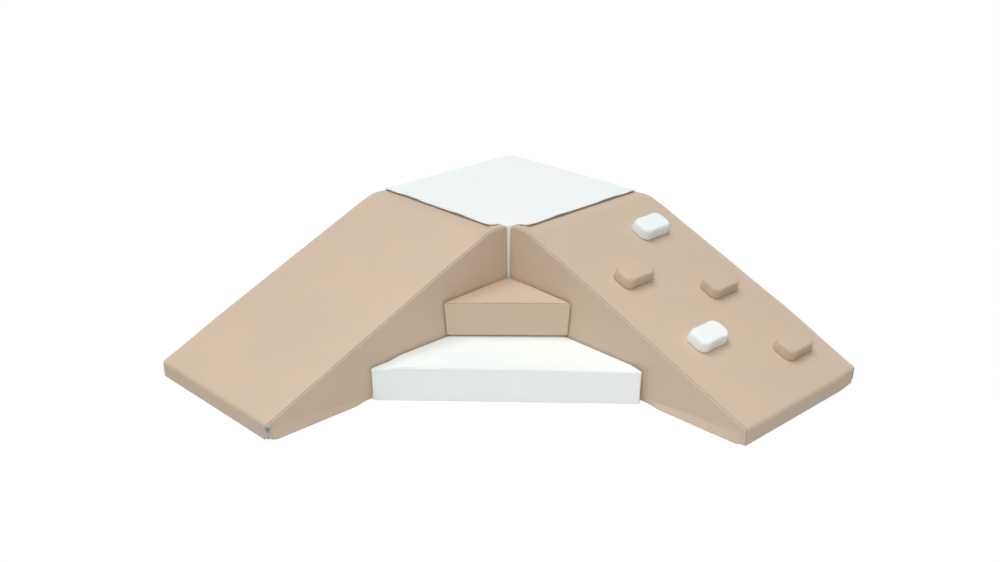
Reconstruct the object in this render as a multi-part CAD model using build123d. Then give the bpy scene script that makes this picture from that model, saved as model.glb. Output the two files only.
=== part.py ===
from build123d import *
import math
import os

# Corner climbing set of covered foam blocks: a square platform, two ramps that leave it at right
# angles, and two triangular steps stacked in the corner between the ramps. All sizes are in mm.
# The set is drawn with the platform's front corner at the origin, the slide ramp running along -X,
# the climbing ramp along -Y and the steps in the quarter between them. At the end it is turned an
# eighth of a turn, so that the steps face -Y, and stood on its bottom centre.

# Platform
platform_side = 600.0
platform_height = 423.0
platform_corner_radius = 25.0
platform_edge_radius = 8.0

# Ramps: a flat top by the platform, a long slope and a blunt toe
ramp_length = 950.0
ramp_corner_offset = 15.0
ramp_flat = 81.0
toe_height = 53.0
crest_radius = 110.0
toe_radius = 14.0
ramp_heel_radius = 9.0
ramp_edge_radius = 7.0
block_gap = 0.3

# Steps: reach is how far the front face stands from the platform's corner
step_clearance = 0.5
corner_clearance = 0.5
lower_step_reach = 407.0
lower_step_height = 115.0
lower_step_tip_radius = 12.0
upper_step_reach = 184.0
upper_step_height = 118.0
upper_step_tip_radius = 5.5
step_apex_radius = 8.0
step_edge_radius = 5.0

# Covers, foam and base sheets
cover_thickness = 1.5
core_clearance = 0.3
base_sheet_thickness = 1.5
base_margin = 30.0
base_sheet_clearance = 0.3
base_opening_radius = 12.0

# Flaps of the platform's top panel, measured along its front edges from the front corner
flap_overlap = 32.0
flap_thickness = 2.4
flap_hinge_gap = 0.3
flap_root_inset = 36.0
flap_tip_inset = 50.0
flap_end_inset = 8.0
flap_corner_radius = 5.0

# Hook and loop tape
hook_thickness = 1.5
loop_thickness = 1.2
grip_gap = 0.3
strip_width = 20.0
strip_edge_margin = 6.0
step_pad_length = 60.0
step_pad_width = 40.0
step_pad_front_margin = 32.0
step_pad_spacing = 120.0
step_pad_corner_radius = 4.0

# Climbing holds
hold_length = 130.0
hold_width = 85.0
hold_height = 39.0
hold_corner_radius = 30.0
hold_waist = 4.5
hold_draft = 2.5
hold_edge_radius = 5.0
hold_wall = 2.0
hold_seat_gap = 0.3
hold_pad_inset = 12.0
hold_pad_clearance = 0.5
hold_loop_thickness = 1.0
hold_hook_thickness = 1.0
# Places on the slope: share of the ramp's width from the inner side, share of the slope from its top
hold_place_shares = [
    (0.738, 0.162),
    (0.304, 0.327),
    (0.740, 0.499),
    (0.320, 0.664),
    (0.749, 0.831),
]

# Zips
zip_tape_width = 20.0
zip_tape_thickness = 0.8
zip_tape_clearance = 0.3
zip_groove_width = 22.0
zip_base_height = 5.5
zip_inset = 24.0
zip_end_margin = 60.0
zip_step_apex_margin = 45.0
zip_step_tip_margin = 80.0
zip_bend_radius = 4.0
zip_turn_radius = 30.0
zip_stand_height = 46.0
coil_width = 5.6
coil_height = 1.6
tooth_pitch = 2.4
tooth_thickness = 0.9
tooth_reach = 0.9
slider_length = 17.0
slider_head_width = 12.5
slider_tail_width = 9.6
slider_corner_radius = 1.6
slider_plate_thickness = 1.4
slider_clearance = 0.3
slider_side_clearance = 0.5
slider_rest_height = 33.0
bridge_width = 3.0
bridge_length = 8.4
bridge_thickness = 1.2
bridge_leg = 1.6
tunnel_height = 1.9
pull_width = 9.0
pull_length = 20.0
pull_thickness = 1.0
pull_window_length = 7.0
pull_window_clearance = 0.5
pull_corner_radius = 2.5
pull_rod_radius = 0.5
pull_eye_margin = 0.6

# How far a cutting shape runs past what it cuts, and the set's turn
overrun = 10.0
quarter_turn = 90.0
half_turn = 180.0
eighth_turn = 45.0

# Worked out from the sizes above
core_inset = cover_thickness + core_clearance
grip_stack = loop_thickness + grip_gap + hook_thickness
ramp_height = platform_height - flap_thickness - grip_stack
ramp_width = platform_side - ramp_corner_offset
slope_drop = ramp_height - toe_height
slope_run = ramp_length - ramp_flat
slope_length = math.hypot(slope_run, slope_drop)
slope_angle = math.degrees(math.atan2(slope_drop, slope_run))
step_side = ramp_corner_offset - step_clearance
upper_step_base = lower_step_height + grip_stack
coil_front = zip_tape_thickness + coil_height
slider_back = zip_tape_thickness + slider_clearance
slider_plate_back = coil_front + slider_clearance
slider_plate_front = slider_plate_back + slider_plate_thickness
pull_axis_lift = slider_plate_front + tunnel_height / 2
zip_flat_depth = zip_groove_width / 2
zip_bend_height = zip_base_height + zip_bend_radius
hold_pocket_depth = hold_loop_thickness + grip_gap + hold_hook_thickness


def drawn_in(outline, inset):
    """A flat outline drawn in on every side."""
    return offset(outline, amount=-inset, kind=Kind.INTERSECTION) if inset else outline


def layer(outline, low, high):
    """A flat outline given thickness between two heights."""
    return Pos(0, 0, low) * extrude(outline, high - low)


def polygon(corners):
    return make_face(Polyline(*corners, close=True))


def rounded_polygon(corners, radii):
    return make_face(FilletPolyline(*corners, radius=radii, close=True))


def rounded_block(outline, height, edge_radius, inset):
    """An upright block on an outline, drawn in on all sides, its top and bottom edges rounded."""
    block = layer(drawn_in(outline, inset), inset, height - inset)
    levels = block.edges().group_by(Axis.Z)
    return fillet(levels[0] + levels[-1], edge_radius - inset)


def platform_outline():
    square = Rectangle(platform_side, platform_side, align=(Align.MIN, Align.MIN))
    return fillet(square.vertices(), platform_corner_radius)


def platform_form(inset):
    return rounded_block(platform_outline(), platform_height, platform_edge_radius, inset)


def ramp_outline():
    return Rectangle(ramp_length, ramp_width, align=(Align.MIN, Align.CENTER))


def ramp_form(inset):
    """The ramp's profile carried across its width, its heel at the origin and its toe towards +X."""
    corners = [
        (0, 0),
        (ramp_length, 0),
        (ramp_length, toe_height),
        (ramp_flat, ramp_height),
        (0, ramp_height),
    ]
    radii = [ramp_heel_radius, ramp_heel_radius, toe_radius, crest_radius, ramp_heel_radius]
    profile = drawn_in(rounded_polygon(corners, radii), inset)
    block = extrude(Plane.XZ * profile, ramp_width / 2 - inset, both=True)
    sides = block.edges().group_by(Axis.Y)
    return fillet(sides[0] + sides[-1], ramp_edge_radius - inset)


def step_outline(reach, tip_radius):
    """A right-angled triangle between the ramps' sides, cut off short of the platform's corner.

    The front face crosses each axis at the reach times the root of two.
    """
    tip = -reach * math.sqrt(2) - step_side
    corner_recess = platform_corner_radius * (math.sqrt(2) - 1)
    cut = (corner_recess - corner_clearance) * math.sqrt(2)
    corners = [
        (step_side, tip),
        (step_side, cut - step_side),
        (cut - step_side, step_side),
        (tip, step_side),
    ]
    return rounded_polygon(corners, [tip_radius, step_apex_radius, step_apex_radius, tip_radius])


def lower_step_outline():
    return step_outline(lower_step_reach, lower_step_tip_radius)


def upper_step_outline():
    return step_outline(upper_step_reach, upper_step_tip_radius)


def lower_step_form(inset):
    return rounded_block(lower_step_outline(), lower_step_height, step_edge_radius, inset)


def upper_step_form(inset):
    return rounded_block(upper_step_outline(), upper_step_height, step_edge_radius, inset)


def base_outline(outline, inset):
    """A block's outline drawn in, with its corners rounded."""
    drawn = drawn_in(outline, inset + base_opening_radius)
    return offset(drawn, amount=base_opening_radius, kind=Kind.ARC)


def covered_block(name, form, outline, cuts, panels=()):
    """The cover, foam core and base sheet of a block.

    The cover is the block's form with its inside taken out and an opening underneath, which the
    base sheet closes. The cuts make room for the zip in all three.
    """
    shell = form(0)
    for panel in panels:
        shell += panel
    shell -= form(cover_thickness)
    shell -= layer(base_outline(outline, base_margin), -overrun, core_inset)
    core = form(core_inset)
    sheet_outline = base_outline(outline, base_margin + base_sheet_clearance)
    sheet = layer(sheet_outline, 0, base_sheet_thickness)
    for cut in cuts:
        shell -= cut
        core -= cut
        sheet -= cut
    return {name + "_cover": shell, name + "_foam_core": core, name + "_base_sheet": sheet}


def zip_slider():
    """A slider: a plate over the teeth, wider at its head, with a flange down each side of them.

    Zips have their own frame: X across the tape, Y along it and Z outwards from its back.
    """
    half = slider_length / 2
    head = slider_head_width / 2
    tail = slider_tail_width / 2
    outline = polygon([(-tail, -half), (tail, -half), (head, half), (-head, half)])
    outline = fillet(outline.vertices(), slider_corner_radius)
    body = layer(outline, slider_back, slider_plate_front)
    body = fillet(body.edges().group_by(Axis.Z)[-1], slider_plate_thickness / 2)
    end = half + overrun
    narrow = coil_width / 2 + slider_side_clearance
    wide = narrow + head - tail
    channel = polygon([(-narrow, -end), (narrow, -end), (wide, end), (-wide, end)])
    return body - layer(channel, 0, slider_plate_back)


def zip_bridge():
    """The arch on the slider's plate that the pull hangs from."""
    align = (Align.CENTER, Align.CENTER, Align.MIN)
    arch = Box(bridge_width, bridge_length, tunnel_height + bridge_thickness, align=align)
    arch = fillet(arch.edges().filter_by(Axis.X).group_by(Axis.Z)[-1], bridge_thickness)
    tunnel = Box(overrun, bridge_length - 2 * bridge_leg, tunnel_height, align=align)
    return Pos(0, 0, slider_plate_front) * (arch - tunnel)


def zip_pull():
    """The pull: an arm each side of the bridge, a rod through its tunnel and a tab that hangs."""
    half_window = bridge_width / 2 + pull_window_clearance
    plate = Pos(0, pull_eye_margin - pull_length / 2) * Rectangle(pull_width, pull_length)
    plate = fillet(plate.vertices().group_by(Axis.Y)[0], pull_corner_radius)
    window = Pos(0, overrun / 2 - pull_window_length) * Rectangle(2 * half_window, overrun)
    tab = extrude(plate - window, pull_thickness / 2, both=True)
    rod = Rot(0, quarter_turn, 0) * Cylinder(pull_rod_radius, pull_width - pull_corner_radius)
    return Pos(0, 0, pull_axis_lift) * (tab + rod)


def toothed_row(length):
    """Teeth that interlock from both sides, each reaching past the middle of the zip."""
    reach = coil_width / 2 + tooth_reach
    teeth = []
    for index in range(int(2 * length / tooth_pitch)):
        side = 1 if index % 2 else -1
        tooth = Pos(side * (coil_width - reach) / 2, 0) * SlotOverall(reach, tooth_thickness)
        height = (index + 1) * tooth_pitch / 2
        teeth.append(Pos(0, height) * layer(tooth, zip_tape_thickness, coil_front))
    return teeth


def straight_zip(name, start, direction, length):
    """A zip under a block, tape and closed coil in one, its slider at the start; and its groove."""
    across = (-direction[1], direction[0], 0)
    frame = Plane(origin=(*start, zip_base_height), x_dir=across, z_dir=(0, 0, -1))
    align = (Align.CENTER, Align.MIN)
    tape = Rectangle(zip_tape_width, length, align=align)
    coil = Rectangle(coil_width, length, align=align)
    groove = Rectangle(zip_groove_width, length + 2 * zip_tape_clearance, align=align)
    band = layer(tape, 0, zip_tape_thickness) + layer(coil, zip_tape_thickness, coil_front)
    cut = layer(groove, -zip_tape_clearance, zip_base_height + overrun)
    pieces = {
        name + "_zip": frame * band,
        name + "_zip_slider": frame * (Pos(0, slider_length) * zip_slider()),
    }
    return pieces, frame * (Pos(0, -zip_tape_clearance) * cut)


def corner_zip_frame():
    """The frame of the zip that stands on a ramp's toe corner, facing outwards between its sides."""
    recess = zip_flat_depth / math.sqrt(2)
    origin = (ramp_length - recess, ramp_width / 2 - recess, 0)
    return Plane(origin=origin, x_dir=(-1, 1, 0), z_dir=(1, 1, 0))


def standing_band(width, low, high, back, front):
    """A band that stands on the corner and ends in a round arch."""
    radius = width / 2
    arch = Pos(0, (low + high - radius) / 2) * Rectangle(width, high - radius - low)
    arch += Pos(0, high - radius) * Circle(radius)
    return layer(arch, back, front)


def bent_band(width, back, front):
    """The quarter bend that takes the zip from the corner to under the ramp."""
    plane = Plane(origin=(0, zip_bend_height, 0), x_dir=(1, 0, 0), z_dir=(0, -1, 0))
    section = plane * (Pos(0, (back + front) / 2) * Rectangle(width, front - back))
    axis = Axis((0, zip_bend_height, -zip_bend_radius), (1, 0, 0))
    return revolve(section, axis=axis, revolution_arc=quarter_turn)


def lying_band(width, low, high):
    """The zip's run under the ramp: in from the corner, then along the side towards the heel."""
    start = (zip_flat_depth / math.sqrt(2)) + zip_bend_radius / math.sqrt(2)
    side = ramp_width / 2
    route = FilletPolyline(
        (ramp_length - start, side - start),
        (ramp_length - zip_inset, side - zip_inset),
        (zip_end_margin, side - zip_inset),
        radius=zip_turn_radius,
    )
    return layer(trace(route, width), low, high)


def corner_zip(name):
    """A ramp's zip with its teeth, slider and pull, and the cuts that make room for it."""
    frame = corner_zip_frame()
    top = zip_stand_height - zip_tape_clearance
    tape = standing_band(zip_tape_width, zip_bend_height, top, 0, zip_tape_thickness)
    tape = frame * (tape + bent_band(zip_tape_width, 0, zip_tape_thickness))
    tape += lying_band(zip_tape_width, zip_base_height - zip_tape_thickness, zip_base_height)
    coil = frame * bent_band(coil_width, zip_tape_thickness, coil_front)
    coil_top = zip_base_height - zip_tape_thickness
    coil += lying_band(coil_width, coil_top - coil_height, coil_top)
    rows = toothed_row(slider_rest_height - zip_bend_height)
    teeth = [frame * (Pos(0, zip_bend_height) * tooth) for tooth in rows]
    rest = Pos(0, slider_rest_height)
    pieces = {
        name + "_zip_tape": tape,
        name + "_zip_teeth": Compound([coil, *teeth]),
        name + "_zip_slider": frame * (rest * (zip_slider() + zip_bridge())),
        name + "_zip_pull": frame * (rest * zip_pull()),
    }
    pocket = standing_band(zip_groove_width, -overrun, zip_stand_height, -zip_tape_clearance, overrun)
    behind = Box(zip_groove_width, zip_bend_height + overrun, zip_bend_radius)
    behind = Pos(0, (zip_bend_height - overrun) / 2, -zip_bend_radius / 2) * behind
    groove = lying_band(zip_groove_width, -overrun, zip_base_height + zip_tape_clearance)
    return pieces, [frame * pocket, frame * behind, groove]


def flap_outline():
    """A flap seen from above: X outwards over the ramp, Y along the platform's edge."""
    far = platform_side - flap_end_inset
    corners = [
        (flap_hinge_gap, flap_root_inset),
        (flap_overlap, flap_tip_inset),
        (flap_overlap, far),
        (flap_hinge_gap, far),
    ]
    return rounded_polygon(corners, [0, flap_corner_radius, flap_corner_radius, 0])


def strip_outline():
    """The tape under a flap, and its mate on the ramp."""
    near = flap_tip_inset + strip_edge_margin
    far = platform_side - flap_end_inset - strip_edge_margin
    strip = Rectangle(strip_width, far - near, align=(Align.MIN, Align.MIN))
    return Pos(strip_edge_margin, near) * strip


def lip():
    """The platform's top panel run out square to its edge, where the flap begins."""
    length = platform_side - flap_end_inset - flap_root_inset
    plan = Rectangle(platform_edge_radius, length, align=(Align.MAX, Align.MIN))
    return layer(Pos(0, flap_root_inset) * plan, platform_height - flap_thickness, platform_height)


def over_slide(shape):
    """From the flap's frame to the platform's edge by the slide."""
    return mirror(shape, Plane.YZ)


def over_climb(shape):
    """From the flap's frame to the platform's edge by the climbing ramp."""
    return Rot(0, 0, -quarter_turn) * shape


def platform_block():
    start = (zip_end_margin, platform_side - zip_inset)
    length = platform_side - 2 * zip_end_margin
    pieces, groove = straight_zip("platform", start, (1, 0), length)
    lips = [over_slide(lip()), over_climb(lip())]
    pieces.update(covered_block("platform", platform_form, platform_outline(), [groove], lips))
    return pieces


def flaps():
    underside = platform_height - flap_thickness
    flap = layer(flap_outline(), underside, platform_height)
    hooks = layer(strip_outline(), underside - hook_thickness, underside)
    loops = layer(strip_outline(), ramp_height, ramp_height + loop_thickness)
    return {
        "flap_left": over_slide(flap),
        "flap_left_hook_strip": over_slide(hooks),
        "slide_loop_strip": over_slide(loops),
        "flap_right": over_climb(flap),
        "flap_right_hook_strip": over_climb(hooks),
        "climb_loop_strip": over_climb(loops),
    }


def ramp(name):
    pieces, cuts = corner_zip(name)
    pieces.update(covered_block(name, ramp_form, ramp_outline(), cuts))
    return pieces


def hold_outline():
    """A hold from above: long across the ramp, with a slight waist in both long sides."""
    half_width = hold_width / 2
    half_length = hold_length / 2
    waist = half_width - hold_waist
    sides = [
        ThreePointArc((half_width, -half_length), (waist, 0), (half_width, half_length)),
        Line((half_width, half_length), (-half_width, half_length)),
        ThreePointArc((-half_width, half_length), (-waist, 0), (-half_width, -half_length)),
        Line((-half_width, -half_length), (half_width, -half_length)),
    ]
    outline = make_face(sides)
    return fillet(outline.vertices(), hold_corner_radius)


def hold_form(inset):
    """A hold's body, drawn in on every side, its sides leaning in and its top edge rounded."""
    low = hold_seat_gap + inset
    outline = drawn_in(hold_outline(), inset)
    body = extrude(outline, hold_height - inset - low, taper=hold_draft)
    body = fillet(body.edges().group_by(Axis.Z)[-1], hold_edge_radius - inset)
    return Pos(0, 0, low) * body


def hold(name):
    """A hold in its own frame: the slope's surface at height zero."""
    pocket = layer(drawn_in(hold_outline(), hold_pad_inset), 0, hold_pocket_depth)
    pad = drawn_in(hold_outline(), hold_pad_inset + hold_pad_clearance)
    return {
        name + "_cover": hold_form(0) - hold_form(hold_wall) - pocket,
        name + "_foam": hold_form(hold_wall + core_clearance),
        name + "_hook_pad": layer(pad, hold_loop_thickness + grip_gap, hold_pocket_depth),
    }


def hold_loop_pad():
    pad = drawn_in(hold_outline(), hold_pad_inset + hold_pad_clearance)
    return layer(pad, 0, hold_loop_thickness)


def hold_frames():
    """Where each hold stands on the climbing ramp's slope, in the ramp's frame."""
    slope = Location((ramp_flat, 0, ramp_height), (0, slope_angle, 0))
    frames = []
    for width_share, slope_share in hold_place_shares:
        across = ramp_width * width_share - ramp_width / 2
        frames.append(slope * Pos(slope_length * slope_share, across))
    return frames


def holds():
    pieces = {}
    pads = []
    for number, frame in enumerate(hold_frames(), start=1):
        for node, shape in hold("hold_" + str(number)).items():
            pieces[node] = frame * shape
        pads.append(frame * hold_loop_pad())
    pieces["climb_hold_loop_pads"] = Compound(pads)
    return pieces


def step_pads(low, high):
    """The two pads that hold the upper step on the lower one."""
    pad = RectangleRounded(step_pad_length, step_pad_width, step_pad_corner_radius)
    depth = -upper_step_reach + step_pad_front_margin + step_pad_width / 2
    facing = Rot(0, 0, -eighth_turn)
    sides = [-step_pad_spacing / 2, step_pad_spacing / 2]
    return Compound([facing * (Pos(side, depth) * layer(pad, low, high)) for side in sides])


def step(name, form, outline, reach):
    """A step's cover, foam, base sheet and zip, which runs along its side by the slide."""
    side = reach * math.sqrt(2) + 2 * step_side
    length = side - zip_step_apex_margin - zip_step_tip_margin
    start = (step_side - zip_step_apex_margin, step_side - zip_inset)
    pieces, groove = straight_zip(name, start, (-1, 0), length)
    pieces.update(covered_block(name, form, outline, [groove]))
    return pieces


def lower_step():
    pieces = step("lower_step", lower_step_form, lower_step_outline(), lower_step_reach)
    top = lower_step_height + loop_thickness
    pieces["lower_step_loop_pads"] = step_pads(lower_step_height, top)
    return pieces


def upper_step():
    pieces = step("upper_step", upper_step_form, upper_step_outline(), upper_step_reach)
    pieces["upper_step_hook_pads"] = step_pads(-hook_thickness, 0)
    return pieces


def climbing_set():
    """Every piece, with the platform's front corner at the origin and the ramps along -X and -Y."""
    middle = ramp_corner_offset + ramp_width / 2
    slide_place = Location((-block_gap, middle, 0), (0, 0, half_turn))
    climb_place = Location((middle, -block_gap, 0), (0, 0, -quarter_turn))
    assemblies = [
        (platform_block(), Pos(0, 0, 0)),
        (flaps(), Pos(0, 0, 0)),
        (ramp("slide"), slide_place),
        (ramp("climb"), climb_place),
        (holds(), climb_place),
        (lower_step(), Pos(0, 0, 0)),
        (upper_step(), Pos(0, 0, upper_step_base)),
    ]
    return {node: place * shape for pieces, place in assemblies for node, shape in pieces.items()}


def main():
    facing = {node: Rot(0, 0, eighth_turn) * shape for node, shape in climbing_set().items()}
    box = Compound(list(facing.values())).bounding_box()
    stand = Pos(-(box.min.X + box.max.X) / 2, -(box.min.Y + box.max.Y) / 2, -box.min.Z)
    os.makedirs("parts", exist_ok=True)
    for node, shape in facing.items():
        export_step(stand * shape, "parts/" + node + ".step")
    print("the platform's front corner stands at", stand.position)


main()
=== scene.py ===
"""Corner climbing set of covered foam blocks: sewn covers, flaps, holds, steps, zips and studio.

Lengths are in metres. Every shape is worked out in the set's own frame, with the platform's front
corner at the origin, the slide ramp along -X and the climbing ramp along -Y, and is then turned an
eighth of a turn and moved to where the fixed frame has that corner.
"""

from __future__ import annotations

import logging
import math
from dataclasses import dataclass, field
from enum import Enum

import bpy
import numpy as np
from mathutils import Matrix, Vector


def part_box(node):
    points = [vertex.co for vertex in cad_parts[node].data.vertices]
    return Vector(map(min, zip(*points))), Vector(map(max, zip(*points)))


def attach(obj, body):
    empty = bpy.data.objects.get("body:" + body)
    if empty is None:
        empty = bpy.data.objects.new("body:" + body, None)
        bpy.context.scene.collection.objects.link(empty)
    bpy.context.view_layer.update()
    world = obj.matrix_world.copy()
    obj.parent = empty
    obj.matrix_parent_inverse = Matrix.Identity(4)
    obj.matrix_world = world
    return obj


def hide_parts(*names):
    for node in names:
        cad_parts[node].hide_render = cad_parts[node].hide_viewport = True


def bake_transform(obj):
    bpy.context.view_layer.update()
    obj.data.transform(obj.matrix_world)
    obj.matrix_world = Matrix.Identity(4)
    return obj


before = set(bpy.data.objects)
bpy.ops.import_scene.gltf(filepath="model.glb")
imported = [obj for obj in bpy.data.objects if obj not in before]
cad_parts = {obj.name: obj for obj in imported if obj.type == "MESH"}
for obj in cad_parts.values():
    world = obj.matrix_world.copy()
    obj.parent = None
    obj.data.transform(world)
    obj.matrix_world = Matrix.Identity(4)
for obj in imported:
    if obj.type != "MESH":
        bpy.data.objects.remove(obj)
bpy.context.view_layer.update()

LOG = logging.getLogger("climbing_set")
# Per point, the distance from the nearest seam that the leather darkens by: partly the joint's own darker
# thread and dirt, partly painted shade in the seam's groove, and along a hold's bottom edge a painted
# contact shadow.
SEAM_ATTRIBUTE = "seam_distance"
FAR_FROM_SEAM = 0.05
SMALLEST_STEP = 0.00001
CRISP_ANGLE = 60.0
PLATFORM_CORNER_RADIUS = 0.025
PLATFORM_HEIGHT = 0.423

Array = np.ndarray
Piece = bpy.types.Object
Socket = bpy.types.NodeSocket
Pair = tuple[float, float]
Place = tuple[float, float, float]
Colour = tuple[float, float, float]


class Tint(Enum):
    """The two colours that the covers are sewn in, as linear red, green and blue."""

    WHITE = (0.880, 0.930, 0.920)
    BEIGE = (0.600, 0.477, 0.363)


class Side(Enum):
    """Which of the platform's two front edges a ramp or flap belongs to."""

    SLIDE = "slide"
    CLIMB = "climb"

    @property
    def flap(self) -> str:
        """The flap's name on this side."""
        return "flap_left" if self is Side.SLIDE else "flap_right"


# Whole-array helpers


def ease(share: Array) -> Array:
    """A smooth step: three times the square less twice the cube of the share, held to 0 and 1.

    Args:
        share: Any array of shares.

    Returns:
        An array of the same shape, level at both ends.
    """
    held = np.clip(share, 0.0, 1.0)
    return held * held * (3.0 - 2.0 * held)


def swell(distance: Array, width: float) -> Array:
    """A bell: e to the power of minus the square of the distance over the width.

    Args:
        distance: Distances from the middle of the bell.
        width: Distance at which the bell has fallen to about a third.

    Returns:
        Values from 0 to 1.
    """
    return np.exp(-((distance / width) ** 2))


def wander(along: Array, wavelength: float, phase: float) -> Array:
    """A slow uneven wave: the sum of three sines whose lengths have no common measure.

    Args:
        along: Distances along an edge.
        wavelength: Length of the longest wave.
        phase: Where the wave starts, which sets two edges apart.

    Returns:
        Values from about -1 to 1.
    """
    turns = 2.0 * math.pi * along / wavelength
    long = np.sin(turns + phase)
    middle = 0.6 * np.sin(turns * 1.73 + 2.1 * phase + 1.0)
    short = 0.35 * np.sin(turns * 3.19 + 3.7 * phase + 2.0)
    return (long + middle + short) / 1.95


def spaced(length: float, spacing: float, extra: tuple[float, ...] = ()) -> Array:
    """Even stops along a length, with some exact ones added.

    Args:
        length: The length to divide.
        spacing: About how far apart the stops are.
        extra: Further stops that have to be there.

    Returns:
        The sorted stops, with 0 and the length among them.
    """
    count = max(1, round(length / spacing))
    return np.union1d(np.linspace(0.0, length, count + 1), np.array(extra))


@dataclass(frozen=True)
class SetFrame:
    """The set's own frame inside the fixed frame."""

    corner_x: float
    corner_y: float

    @classmethod
    def from_platform(cls, corner_radius: float) -> SetFrame:
        """Finds the platform's sharp front corner from its packed box.

        The rounded corner stands back from the sharp one by the radius times root two less one.

        Args:
            corner_radius: The platform's plan corner radius.

        Returns:
            The frame.
        """
        low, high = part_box("platform_cover")
        set_back = corner_radius * (math.sqrt(2.0) - 1.0)
        return cls((low.x + high.x) / 2.0, low.y - set_back)

    def place(self, points: Array) -> Array:
        """Turns points an eighth of a turn about the vertical and moves them to the corner.

        Args:
            points: An array whose last axis holds X, Y and Z in the set's own frame.

        Returns:
            The same points in the fixed frame.
        """
        diagonal = math.sqrt(0.5)
        x = (points[..., 0] - points[..., 1]) * diagonal + self.corner_x
        y = (points[..., 0] + points[..., 1]) * diagonal + self.corner_y
        return np.stack([x, y, points[..., 2]], axis=-1)


SET_FRAME = SetFrame.from_platform(PLATFORM_CORNER_RADIUS)


# Meshes


def new_object(name: str, points: Array, faces: list[Array], finish: Finish) -> Piece:
    """Makes a mesh object from whole arrays, put where the set stands, its faces turned outwards.

    The solid's signed volume is a sixth of the sum, over its triangles, of each first corner dotted
    with the cross product of the other two. Where it is negative, every face is turned round.

    Args:
        name: The object's name.
        points: Its vertices in the set's own frame, one row each.
        faces: Arrays of vertex numbers, each with one column per corner.
        finish: What its surface is made of.

    Returns:
        The new object, linked to the scene.
    """
    points = SET_FRAME.place(points)
    volume = 0.0
    for block in faces:
        for second in range(1, block.shape[1] - 1):
            a, b, c = points[block[:, 0]], points[block[:, second]], points[block[:, second + 1]]
            volume += float(np.einsum("ij,ij->", a, np.cross(b, c)))
    if volume < 0.0:
        faces = [block[:, ::-1] for block in faces]
    mesh = bpy.data.meshes.new(name)
    mesh.vertices.add(len(points))
    mesh.vertices.foreach_set("co", points.astype(np.float32).ravel())
    corners = np.concatenate([block.ravel() for block in faces])
    totals = np.concatenate([np.full(len(block), block.shape[1]) for block in faces])
    starts = np.concatenate([[0], np.cumsum(totals)[:-1]])
    mesh.loops.add(len(corners))
    mesh.loops.foreach_set("vertex_index", corners.astype(np.int32))
    mesh.polygons.add(len(totals))
    mesh.polygons.foreach_set("loop_start", starts.astype(np.int32))
    mesh.polygons.foreach_set("use_smooth", np.ones(len(totals), dtype=bool))
    mesh.update(calc_edges=True)
    mesh.materials.append(finish.material())
    made = bpy.data.objects.new(name, mesh)
    bpy.context.scene.collection.objects.link(made)
    return made


def set_attribute(made: Piece, name: str, values: Array) -> None:
    """Stores one number per vertex on an object's mesh.

    Args:
        made: The object.
        name: The attribute's name.
        values: One value per vertex.
    """
    attribute = made.data.attributes.new(name, "FLOAT", "POINT")
    attribute.data.foreach_set("value", values.astype(np.float32))


def sharpen(made: Piece, degrees: float) -> None:
    """Keeps edges that turn by more than an angle crisp."""
    made.data.set_sharp_from_angle(angle=math.radians(degrees))


def thicken(made: Piece, thickness: float) -> None:
    """Gives an open skin its wall, on the inner side, with crisp rims.

    Args:
        made: The object.
        thickness: The wall's thickness.
    """
    wall = made.modifiers.new("wall", "SOLIDIFY")
    wall.thickness = thickness
    wall.offset = -1.0
    wall.use_rim = True
    sharpen(made, CRISP_ANGLE)


def finish_cad(node: str, finish: Finish) -> None:
    """Gives a carried-over CAD node its finish.

    Args:
        node: The node's name.
        finish: What its surface is made of.
    """
    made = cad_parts[node]
    made.data.materials.clear()
    made.data.materials.append(finish.material())


# Finishes


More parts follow.
